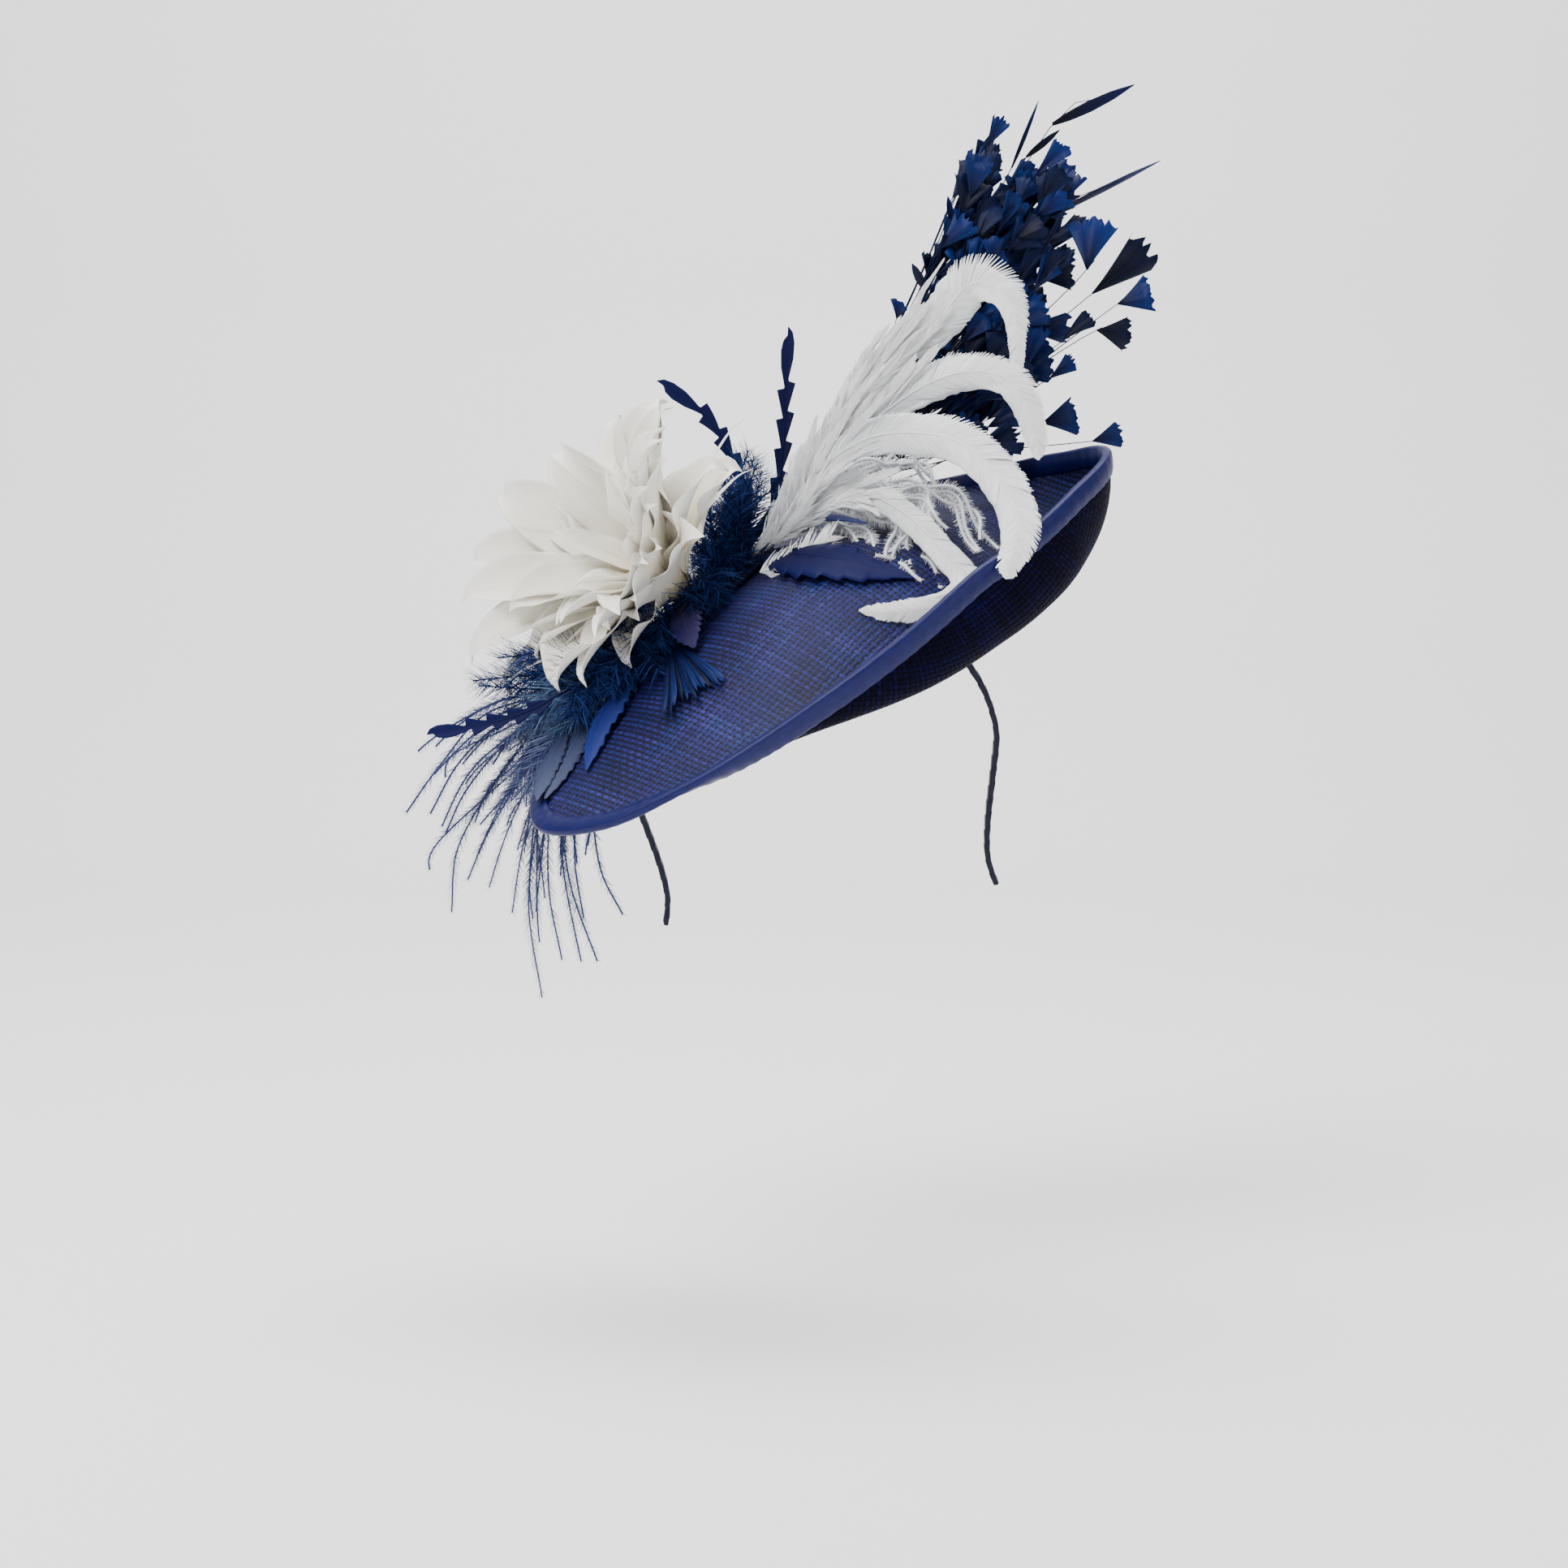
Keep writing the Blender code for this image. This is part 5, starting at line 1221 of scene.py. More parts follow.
@dataclass
class WhiteCoques:
    """White cock feathers: downy along the lower shaft, then a smooth vane that curls over."""

    form: SaucerForm
    feathers: tuple[Feather, ...] = (
        Feather("white_coque_1", (0.42, 0.10), (0.0, -1.0, 0.2), 0.0118,
                ((0.22, -0.17, 0.30), (0.56, -0.22, 0.77), (0.81, -0.26, 1.01), (0.98, -0.30, 1.20),
                 (1.14, -0.36, 1.11), (1.17, -0.42, 0.86), (1.14, -0.46, 0.73))),
        Feather("white_coque_2", (0.38, -0.15), (0.0, -1.0, 0.2), 0.0094,
                ((0.22, -0.22, 0.29), (0.57, -0.36, 0.63), (0.85, -0.42, 0.80), (1.07, -0.46, 0.81),
                 (1.18, -0.50, 0.71), (1.25, -0.54, 0.49), (1.24, -0.56, 0.39))),
        Feather("white_coque_3", (0.44, -0.30), (0.0, -1.0, 0.2), 0.0105,
                ((0.10, -0.26, 0.14), (0.22, -0.36, 0.34), (0.44, -0.50, 0.49), (0.66, -0.60, 0.51),
                 (0.83, -0.68, 0.47), (0.99, -0.78, 0.33), (1.07, -0.90, 0.13), (1.01, -1.04, -0.11))),
        Feather("white_coque_4", (0.46, -0.30), (0.0, -1.0, 0.2), 0.0068,
                ((0.14, -0.24, 0.14), (0.28, -0.34, 0.23), (0.45, -0.42, 0.23), (0.61, -0.50, 0.14),
                 (0.75, -0.64, -0.01), (0.84, -0.75, -0.13), (0.76, -0.79, -0.22), (0.57, -0.76, -0.26),
                 (0.39, -0.70, -0.26))),
    )
    curl_starts: tuple[float, ...] = (0.50, 0.44, 0.28, 0.24)
    outlines: tuple[Outline, ...] = (Outline.COQUE_HOOK, Outline.COQUE_CURL, Outline.COQUE_LEAF,
                                     Outline.COQUE_LEAF)
    down_width: float = 0.0088
    steps: int = 80
    side_feathers: int = 11
    # Split strands that stand off the vane's upper edge: how many on each feather
    splinters: tuple[int, ...] = (7, 8, 4, 2)
    ruff: tuple[Point, ...] = ((-0.04, -0.22, -0.10), (0.10, -0.28, -0.05), (0.27, -0.32, 0.06))

    def build(self) -> None:
        """Make each feather with its down, its smooth end and the loose strands beside it."""
        finish = WHITE_COQUE.make()
        for number, (feather, curl_start) in enumerate(zip(self.feathers, self.curl_starts)):
            outline = self.outlines[number].value
            rng = np.random.default_rng(40 + number)
            sheaf = Sheaf()
            root = self.form.on_mount(*feather.root, ROOT_LIFT)
            points = from_root(root, feather.points)
            path = smooth_path(points, self.steps)
            run, side, face = frames_along(path, feather.facing)
            Vane(self.down_width, Outline.COQUE_DOWN.value, spacing=0.0007, barb_width=0.0012, angle=36.0,
                 tip_angle=22.0, cup=-0.2, clump=4.0, fray=7.0, lift=0.20, start=0.06,
                 stop=curl_start + 0.14).grow(sheaf, points, feather.facing, rng)
            curl = path[int(curl_start * self.steps):]
            Blade(feather.half_width, outline, cup=-0.22, wave=0.10, waves=2.5, notch=0.12,
                  angle=28.0, rows=44).grow(sheaf, curl[::3], feather.facing, rng)
            Vane(0.97 * feather.half_width, outline, spacing=0.0006, barb_width=0.0015, angle=38.0,
                 tip_angle=32.0, cup=-0.16, sweep=-0.10, clump=9.0, fray=2.4, lift=0.05, forward=1.2,
                 jitter=0.07, shaft=0.0008).grow(sheaf, curl[::3] + face[-len(curl)::3] * 0.0005,
                                                 feather.facing, rng)
            for _ in range(self.side_feathers):
                start = int(rng.integers(2, 14))
                stop = int(self.steps * curl_start + rng.integers(2, 18))
                strand = path[start:stop].copy()
                rise = np.linspace(0.0, 1.0, len(strand))[:, None] ** 1.4
                strand += side[start:stop] * rise * rng.uniform(-0.017, 0.011)
                strand += face[start:stop] * (0.0008 + rise * rng.uniform(-0.002, 0.004))
                Vane(rng.uniform(0.0025, 0.0045), Outline.SPIKE.value, spacing=0.0010, barb_width=0.0010,
                     angle=26.0, tip_angle=12.0, clump=4.0, fray=5.0, lift=0.2, shaft=0.0003,
                     steps=3).grow(sheaf, strand[::5], feather.facing, rng)
            for k in range(self.splinters[number]):
                share = (k + rng.random()) / self.splinters[number]
                first = int(self.steps * (curl_start - 0.12 + 0.20 * share))
                way = unit(run[first] - side[first] * rng.uniform(0.22, 0.50)
                           + face[first] * rng.uniform(0.0, 0.12))
                reach = rng.uniform(0.020, 0.032)
                hook = run[first] * 0.004 + side[first] * 0.001
                strand = [path[first], path[first] + way * 0.5 * reach, path[first] + way * reach + hook]
                Vane(rng.uniform(0.0018, 0.0030), Outline.SPIKE.value, spacing=0.0007, barb_width=0.0012,
                     angle=20.0, tip_angle=9.0, clump=6.0, fray=3.0, lift=0.1, shaft=0.0004,
                     steps=3).grow(sheaf, strand, feather.facing, rng)
            if feather is self.feathers[-1]:
                Vane(0.0085, Outline.COQUE_DOWN.value, spacing=0.0005, barb_width=0.0008, angle=58.0,
                     tip_angle=34.0,
                     cup=-0.3, clump=3.0, fray=9.0, lift=0.3, jitter=0.35).grow(
                         sheaf, from_root(root, self.ruff)[1:], feather.facing, rng)
            settle(sheaf.build(feather.node.replace("white", "curled"), finish), "white_feather",
                   feather.node)


@dataclass
class ArrowQuills:
    """Navy quills whose vanes are cut in steps like arrow flights, with a leaf left at the tip."""

    form: SaucerForm
    teeth: int = 4
    bare: float = 0.38
    leaf_start: float = 0.81
    waist: float = 0.28
    feathers: tuple[Feather, ...] = (
        Feather("arrow_quill_1", (0.22, 0.44), (0.2, -1.0, 0.0), 0.0048,
                ((0.13, 0.06, 0.14), (0.20, 0.10, 0.30), (0.18, 0.12, 0.46), (0.03, 0.12, 0.75),
                 (-0.21, 0.10, 0.93))),
        Feather("arrow_quill_2", (0.31, 0.44), (0.0, -1.0, 0.1), 0.0044,
                ((0.20, 0.18, 0.23), (0.28, 0.22, 0.52), (0.31, 0.22, 1.12))),
        Feather("arrow_quill_3", (-0.43, -0.44), (0.0, -1.0, 0.2), 0.0046,
                ((-0.14, -0.04, 0.06), (-0.36, -0.11, -0.05), (-0.57, -0.15, -0.11), (-0.80, -0.18, -0.15))),
    )

    def outline(self) -> Table:
        """Return the stepped outline: each tooth widens toward the tip and drops to the waist."""
        rows = [(0.0, 0.14), (self.bare, 0.14)]
        span = (self.leaf_start - self.bare) / self.teeth
        for i in range(self.teeth):
            start = self.bare + span * i
            rows += [(start + 0.002, self.waist), (start + 0.93 * span, 1.0),
                     (start + 0.94 * span, self.waist)]
        span = 1.0 - self.leaf_start
        return tuple(rows + [(self.leaf_start + share * span, width) for share, width in
                             ((0.02, 0.22), (0.40, 0.66), (0.70, 0.72), (0.90, 0.50), (1.0, 0.05))])

    def build(self) -> None:
        """Make the three quills."""
        finish = NAVY_VANE.make()
        for number, feather in enumerate(self.feathers):
            rng = np.random.default_rng(60 + number)
            sheaf = Sheaf()
            root = self.form.on_mount(*feather.root, ROOT_LIFT)
            points = from_root(root, feather.points)
            Blade(feather.half_width, self.outline(), cup=0.12, stagger=0.03, rows=150, columns=3,
                  thick=0.0003).grow(sheaf, points, feather.facing, rng)
            path = smooth_path(points, 24)
            sheaf.add_tube(path, np.linspace(0.0010, 0.0003, 24), feather.facing, 0.6)
            settle(sheaf.build(feather.node.replace("arrow", "stepped"), finish), "navy_feather",
                   feather.node)


class Plumage(Enum):
    """The vaned finishes that the lying feathers choose from, with their material slots."""

    BLUE = ("blue_feather", BLUE_VANE)
    GREY = ("grey_feather", GREY_VANE)
    PURPLE = ("purple_feather", PURPLE_VANE)
    NAVY = ("navy_feather", NAVY_VANE)
    FAN = ("navy_feather", TEAL_FAN)


@dataclass
class LyingFeathers:
    """Leaf-cut feathers and a trimmed fan that lie over the saucer's floor."""

    form: SaucerForm
    teeth: int = 9
    fan_tufts: int = 11
    # Node, plumage, half width, then points as shares along and across the saucer and a lift
    rows: tuple = (
        ("leaf_feather_1", Plumage.BLUE, 0.0072,
         ((-0.57, 0.03, 0.006), (-0.65, -0.09, 0.006), (-0.72, -0.20, 0.005), (-0.78, -0.33, 0.0020))),
        ("leaf_feather_2", Plumage.GREY, 0.0072,
         ((-0.74, -0.05, 0.005), (-0.81, -0.16, 0.004), (-0.88, -0.29, 0.003), (-0.92, -0.36, 0.0026))),
        ("leaf_feather_3", Plumage.GREY, 0.0062,
         ((-0.82, -0.10, 0.0075), (-0.88, -0.21, 0.0065), (-0.92, -0.30, 0.0050), (-0.94, -0.37, 0.0045))),
        ("leaf_feather_4", Plumage.PURPLE, 0.0085,
         ((-0.35, 0.13, 0.012), (-0.36, 0.06, 0.012), (-0.37, -0.01, 0.009), (-0.37, -0.08, 0.0040))),
        ("leaf_feather_5", Plumage.NAVY, 0.0130,
         ((-0.10, 0.26, 0.006), (0.00, 0.10, 0.006), (0.12, -0.02, 0.005), (0.28, -0.10, 0.0020))),
        ("brim_fan_feather", Plumage.FAN, 0.0130,
         ((-0.44, 0.08, 0.006), (-0.43, -0.03, 0.004), (-0.42, -0.14, 0.003), (-0.41, -0.26, 0.0022))),
    )
    strip: Feather = Feather("satin_strip_feather", (0.49, -0.10), (0.0, -0.5, 1.0), 0.0046,
                             ((0.19, -0.24, 0.12), (0.30, -0.33, 0.13), (0.43, -0.42, 0.10)))

    def leaf(self) -> Table:
        """Return a leaf outline with small teeth cut along its edge."""
        rows = []
        for i in range(self.teeth):
            for share, cut in ((0.02, 0.84), (0.96, 1.08)):
                place = (i + share) / self.teeth
                rows.append((place, cut * float(read_table(Outline.LEAF.value, np.array([place]))[0])))
        return tuple(rows) + ((1.0, 0.04),)

    def build(self) -> None:
        """Make the six lying feathers and the narrow strip."""
        finishes = {plumage: plumage.value[1].make() for plumage in Plumage}
        for number, (node, plumage, half, shaft) in enumerate(self.rows):
            rng = np.random.default_rng(80 + number)
            sheaf = Sheaf()
            points = [self.form.on_top(a, b, lift) for a, b, lift in shaft]
            if plumage is Plumage.FAN:
                for turn in np.linspace(-1.0, 1.0, self.fan_tufts):
                    end = points[-1] + np.cross(self.form.up, unit(points[-1] - points[0])) * (turn * half)
                    end += self.form.up * rng.uniform(0.0, 0.0015)
                    TrimmedFan(5, ragged=0.12).grow(sheaf, points[0], end, 1.3 * half / self.fan_tufts,
                                                    self.form.up, rng)
            else:
                Blade(half, self.leaf(), cup=-0.18, wave=0.05, rows=90, columns=4).grow(
                    sheaf, points, self.form.up, rng)
            path = smooth_path(points, 16)
            sheaf.add_tube(path, np.linspace(0.0007, 0.0002, 16), self.form.up, 0.9)
            settle(sheaf.build(node + "_vane", finishes[plumage]), plumage.value[0], node)
        sheaf = Sheaf()
        root = self.form.on_mount(*self.strip.root, ROOT_LIFT)
        points = from_root(root, self.strip.points)
        Blade(self.strip.half_width, Outline.LEAF.value, cup=-0.2).grow(sheaf, points, self.strip.facing,
                                                                      np.random.default_rng(90))
        settle(sheaf.build("satin_strip_vane", finishes[Plumage.BLUE]), "blue_feather", self.strip.node)


@dataclass
class FeatherFlower:
    """The ivory flower: cupped goose-feather petals round a short core, curled at their tips."""

    form: SaucerForm
    core_length: float = 0.026
    core_turn: Point = (-0.42, -0.79, 0.46)
    core_place: tuple[float, float] = (0.12, 0.20)
    core_head: float = 0.0035
    core_foot: float = 0.0060
    collar_top: float = 0.0031
    axis: Point = (-0.71, -0.57, 0.41)
    petal_length: float = 0.082
    petal_half_width: float = 0.025
    # Turn about the axis from straight up, opening, share of the length, share of the width,
    # share down the core
    petals: tuple = (
        (0, 24, 0.66, 0.28, 0.10), (90, 24, 0.62, 0.28, 0.10), (180, 24, 0.60, 0.28, 0.10),
        (270, 24, 0.62, 0.28, 0.10),
        (45, 44, 0.90, 0.66, 0.20), (135, 44, 0.86, 0.66, 0.20), (225, 44, 0.78, 0.62, 0.20),
        (315, 42, 0.84, 0.66, 0.20),
        (5, 62, 1.00, 0.95, 0.38), (90, 62, 0.98, 0.95, 0.38), (170, 62, 0.90, 0.80, 0.38),
        (280, 54, 0.74, 0.70, 0.38),
        (48, 80, 1.00, 0.95, 0.56), (118, 78, 0.96, 0.70, 0.56), (192, 66, 0.58, 0.44, 0.56),
        (330, 76, 0.76, 0.80, 0.56),
    )
    fillers: int = 26
    # Long petals on the outer side, in the same columns
    longer: tuple = ((120, 46, 1.16, 0.66, 0.45), (100, 52, 1.18, 0.68, 0.50), (138, 54, 1.20, 0.56, 0.50),
                     (75, 50, 1.14, 0.72, 0.45), (52, 58, 1.08, 0.76, 0.50), (28, 62, 1.04, 0.70, 0.50),
                     (150, 62, 1.10, 0.50, 0.56))
    # White pointed blades and wisps under the flower: turn, opening, share of length, share of width
    spikes: tuple = ((150, 72, 0.98, 0.20), (140, 66, 1.06, 0.16), (160, 80, 0.90, 0.14),
                     (112, 88, 1.14, 0.12),
                     (60, 78, 1.10, 0.05), (20, 70, 1.08, 0.05), (300, 66, 1.05, 0.06), (330, 72, 1.0, 0.05))

    def petal_points(self, turn: float, opening: float, long_share: float, down_share: float,
                     curl: float) -> list[np.ndarray]:
        """Return the points of a petal's shaft.

        Args:
            turn: Degrees about the axis from straight up.
            opening: Degrees from the axis.
            long_share: Share of the petal length.
            down_share: Share of the core from its head to the root.
            curl: How far the tip bends back, as a share of the opening.

        Returns:
            The points.
        """
        axis = unit(np.array(self.axis))
        up = unit(np.array([0.0, 0.0, 1.0]) - axis * axis[2])
        side = np.cross(axis, up)
        core = unit(np.array(self.core_turn))
        foot = self.form.on_mount(*self.core_place, self.collar_top)
        head = foot + core * self.core_length
        angle = math.radians(turn)
        out = up * math.cos(angle) + side * math.sin(angle)
        radial = unit(out - core * out.dot(core))
        radius = self.core_head + (self.core_foot - self.core_head) * down_share + 0.0012
        points = [head - core * (self.core_length * down_share) + radial * radius]
        length = self.petal_length * long_share
        for share, lean in ((0.25, 0.70), (0.35, 0.95), (0.28, 1.15), (0.12, 1.15 + curl)):
            tilt = math.radians(opening * lean)
            points.append(points[-1] + (axis * math.cos(tilt) + out * math.sin(tilt)) * (length * share))
        return points

    def build(self) -> None:
        """Make the petals, and finer ones between them, as one piece."""
        rng = np.random.default_rng(7)
        sheaf = Sheaf()
        axis = unit(np.array(self.axis))
        rows = [row + (0.9, 0.50) for row in self.petals + self.longer]
        for k in range(self.fillers):
            turn = 360.0 * GOLDEN_SHARE * k % 360.0
            opening = float(rng.uniform(30.0, 46.0 if 185.0 < turn < 305.0 else 82.0))
            rows.append((turn, opening, float(rng.uniform(0.60, 0.98)), float(rng.uniform(0.25, 0.62)),
                         float(rng.uniform(0.1, 0.6)), float(rng.uniform(0.6, 1.6)), 0.6))
        rows += [row + (0.5, 0.3, 0.25) for row in self.spikes]
        for turn, opening, long_share, wide_share, down_share, curl, cup in rows:
            points = self.petal_points(turn, opening, long_share, down_share, curl)
            Blade(self.petal_half_width * wide_share, Outline.PETAL.value, cup=cup, wave=0.26,
                  waves=float(rng.uniform(1.2, 2.6)), angle=48.0, rows=34, columns=7).grow(sheaf, points,
                                                                                           axis, rng)
            path = smooth_path(points, 14)
            sheaf.add_tube(path, np.linspace(0.0006, 0.0002, 14), axis, 0.9)
        settle(sheaf.build("ivory_petals", IVORY_GOOSE.make()), "ivory",
               *("petal_%02d" % number for number in range(1, len(self.petals) + 1)))


@dataclass
class FanSpray:
    """The tall spray: hackle stems stripped bare and trimmed to small fans at their tips."""

    form: SaucerForm
    root: tuple[float, float] = (0.44, 0.36)
    knob: float = 0.0035
    trunk: Point = (0.42, 0.06, 0.56)
    stem: float = 0.00045
    # Start right and up, end right and up, half the wide end, depth, all shares of the reach
    fans: tuple = (
        (1.09, 1.80, 1.16, 1.92, 0.047, 0.02), (1.08, 1.62, 1.12, 1.77, 0.055, -0.04),
        (1.21, 1.72, 1.33, 2.02, 0.012, 0.08), (1.27, 1.76, 1.42, 1.88, 0.017, 0.00),
        (1.31, 1.68, 1.43, 1.79, 0.053, -0.06), (1.39, 1.91, 1.76, 2.09, 0.027, 0.04),
        (1.37, 1.49, 1.87, 1.74, 0.018, -0.02), (1.33, 1.32, 1.46, 1.56, 0.012, -0.10),
        (1.14, 1.42, 1.21, 1.57, 0.051, -0.12), (1.23, 1.54, 1.26, 1.67, 0.087, 0.10),
        (1.54, 1.25, 1.56, 1.46, 0.122, -0.08), (1.34, 1.20, 1.40, 1.33, 0.051, -0.16),
        (1.57, 1.15, 1.80, 1.34, 0.106, 0.00), (1.68, 1.10, 1.82, 1.14, 0.091, -0.06),
        (1.58, 0.98, 1.72, 0.96, 0.081, -0.12), (0.98, 1.50, 1.05, 1.68, 0.027, 0.00),
        (0.94, 1.47, 0.92, 1.59, 0.018, 0.06), (0.88, 1.25, 0.94, 1.40, 0.061, -0.04),
        (0.82, 1.17, 0.76, 1.29, 0.022, 0.02), (0.69, 1.04, 0.71, 1.11, 0.052, 0.04),
        (1.35, 0.57, 1.49, 0.61, 0.090, 0.04), (1.58, 0.49, 1.70, 0.52, 0.060, 0.06),
        (1.24, 0.76, 1.29, 0.98, 0.079, -0.06), (1.44, 0.94, 1.54, 1.05, 0.061, -0.02),
        (1.11, 1.25, 1.12, 1.37, 0.055, -0.14), (1.38, 0.77, 1.49, 0.85, 0.048, 0.02),
    )
    cluster: int = 170
    # The middle of the dense part and its half axes along and across its slant
    cluster_centre: tuple[float, float] = (1.03, 1.06)
    cluster_reach: tuple[float, float] = (0.60, 0.24)

    def build(self) -> None:
        """Make the stems, the fans and the dense cluster behind the white feathers."""
        rng = np.random.default_rng(21)
        sheaf = Sheaf()
        root = self.form.on_mount(*self.root, self.knob)
        crown = root + np.array(self.trunk) * SPRAY_REACH
        rows = list(self.fans)
        slant = unit(np.array([0.30, 0.95]))
        cross = np.array([slant[1], -slant[0]])
        for _ in range(self.cluster):
            place = (np.array(self.cluster_centre) + slant * rng.uniform(-1.0, 1.0) * self.cluster_reach[0]
                     + cross * rng.uniform(-1.0, 1.0) * self.cluster_reach[1])
            way = unit(unit(place) + rng.normal(0.0, 0.30, 2))
            end = place + way * rng.uniform(0.12, 0.22)
            rows.append((*place, *end, rng.uniform(0.05, 0.10), rng.uniform(-0.12, 0.20)))
        for number, (x, z, wide_x, wide_z, half, depth) in enumerate(rows):
            start = root + np.array([x, depth, z]) * SPRAY_REACH
            end = root + np.array([wide_x, depth + rng.uniform(-0.04, 0.04), wide_z]) * SPRAY_REACH
            foot = root + (crown - root) * (0.3 + 0.65 * (GOLDEN_SHARE * number % 1.0))
            bend = 0.5 * (foot + start) + np.array([0.06, 0.03, -0.05]) * SPRAY_REACH
            path = smooth_path([foot, bend, start, start + 0.7 * (end - start)], 16)
            sheaf.add_tube(path, np.linspace(self.stem, 0.4 * self.stem, 16), (0.0, -1.0, 0.0), 0.2)
            facing = (rng.normal(0.0, 0.45), -1.0, rng.normal(0.0, 0.35))
            if half < 0.03:
                Blade(half * SPRAY_REACH, Outline.LEAF.value, cup=0.2, rows=12, columns=3).grow(
                    sheaf, [start, 0.5 * (start + end), end], facing, rng)
            else:
                TrimmedFan().grow(sheaf, start, end, half * SPRAY_REACH, facing, rng)
        trunk = smooth_path([root, 0.5 * (root + crown), crown], 8)
        sheaf.add_tube(trunk, np.linspace(0.0024, 0.0014, 8), (0.0, -1.0, 0.0), 0.1)
        settle(sheaf.build("trimmed_hackle_spray", TEAL_FAN.make()), "navy_feather", "navy_fan_spray")


@dataclass
class OstrichCurls:
    """Curled white ostrich between the coques and the saucer."""

    form: SaucerForm
    grower: FlueGrower
    root: tuple[float, float] = (0.49, 0.16)
    knob: float = 0.0028
    locks: tuple = (
        ((0.29, -0.22, 0.18), (0.52, -0.36, 0.24), (0.70, -0.50, 0.17), (0.76, -0.58, 0.06)),
        ((0.29, -0.23, 0.14), (0.62, -0.44, 0.08), (0.66, -0.58, -0.05), (0.80, -0.68, -0.12)),
        ((0.29, -0.18, 0.19), (0.66, -0.34, 0.24), (0.87, -0.52, 0.15), (0.94, -0.64, -0.05)),
        ((0.26, -0.24, 0.10), (0.48, -0.42, 0.02), (0.60, -0.58, -0.10), (0.75, -0.70, -0.19)),
        ((0.28, -0.22, 0.14), (0.56, -0.42, 0.12), (0.64, -0.54, 0.01), (0.56, -0.60, -0.08)),
        ((0.29, -0.20, 0.18), (0.62, -0.38, 0.20), (0.76, -0.54, 0.08), (0.72, -0.62, -0.06)),
        ((0.29, -0.14, 0.21), (0.50, -0.20, 0.34), (0.66, -0.24, 0.38), (0.74, -0.28, 0.30)),
    )
    doubles: int = 4
    steps: int = 40
    stray: float = 0.0035
    curl_radius: float = 0.0028
    curl_turn: float = 22.0

    def build(self) -> None:
        """Grow the flues along curled strands."""
        rng = np.random.default_rng(33)
        root = self.form.on_mount(*self.root, self.knob)
        strands = []
        for lock in self.locks:
            points = np.array(from_root(root, lock))
            for _ in range(self.doubles):
                shift = rng.normal(0.0, self.stray, points.shape) * np.linspace(0.2, 1.0, len(points))[:,
                                                                                                       None]
                path = smooth_path(points + shift, self.steps)
                _, side, face = frames_along(path, (0.0, -1.0, 0.2))
                share = np.linspace(0.0, 1.0, self.steps)[:, None]
                turn = self.curl_turn * share + rng.uniform(0.0, 6.28)
                curl = self.curl_radius * share * (side * np.sin(turn) + face * np.cos(turn))
                strands.append(path + curl)
        flue = Flue(0.0038, 0.00022, width=0.12, angle=58.0, spread=0.5, droop=0.2, shaft=0.0009, seed=5)
        settle(self.grower.grow("curled_ostrich", strands, flue, WHITE_FLUFF.make()), "white_feather",
               "white_ostrich_curls")


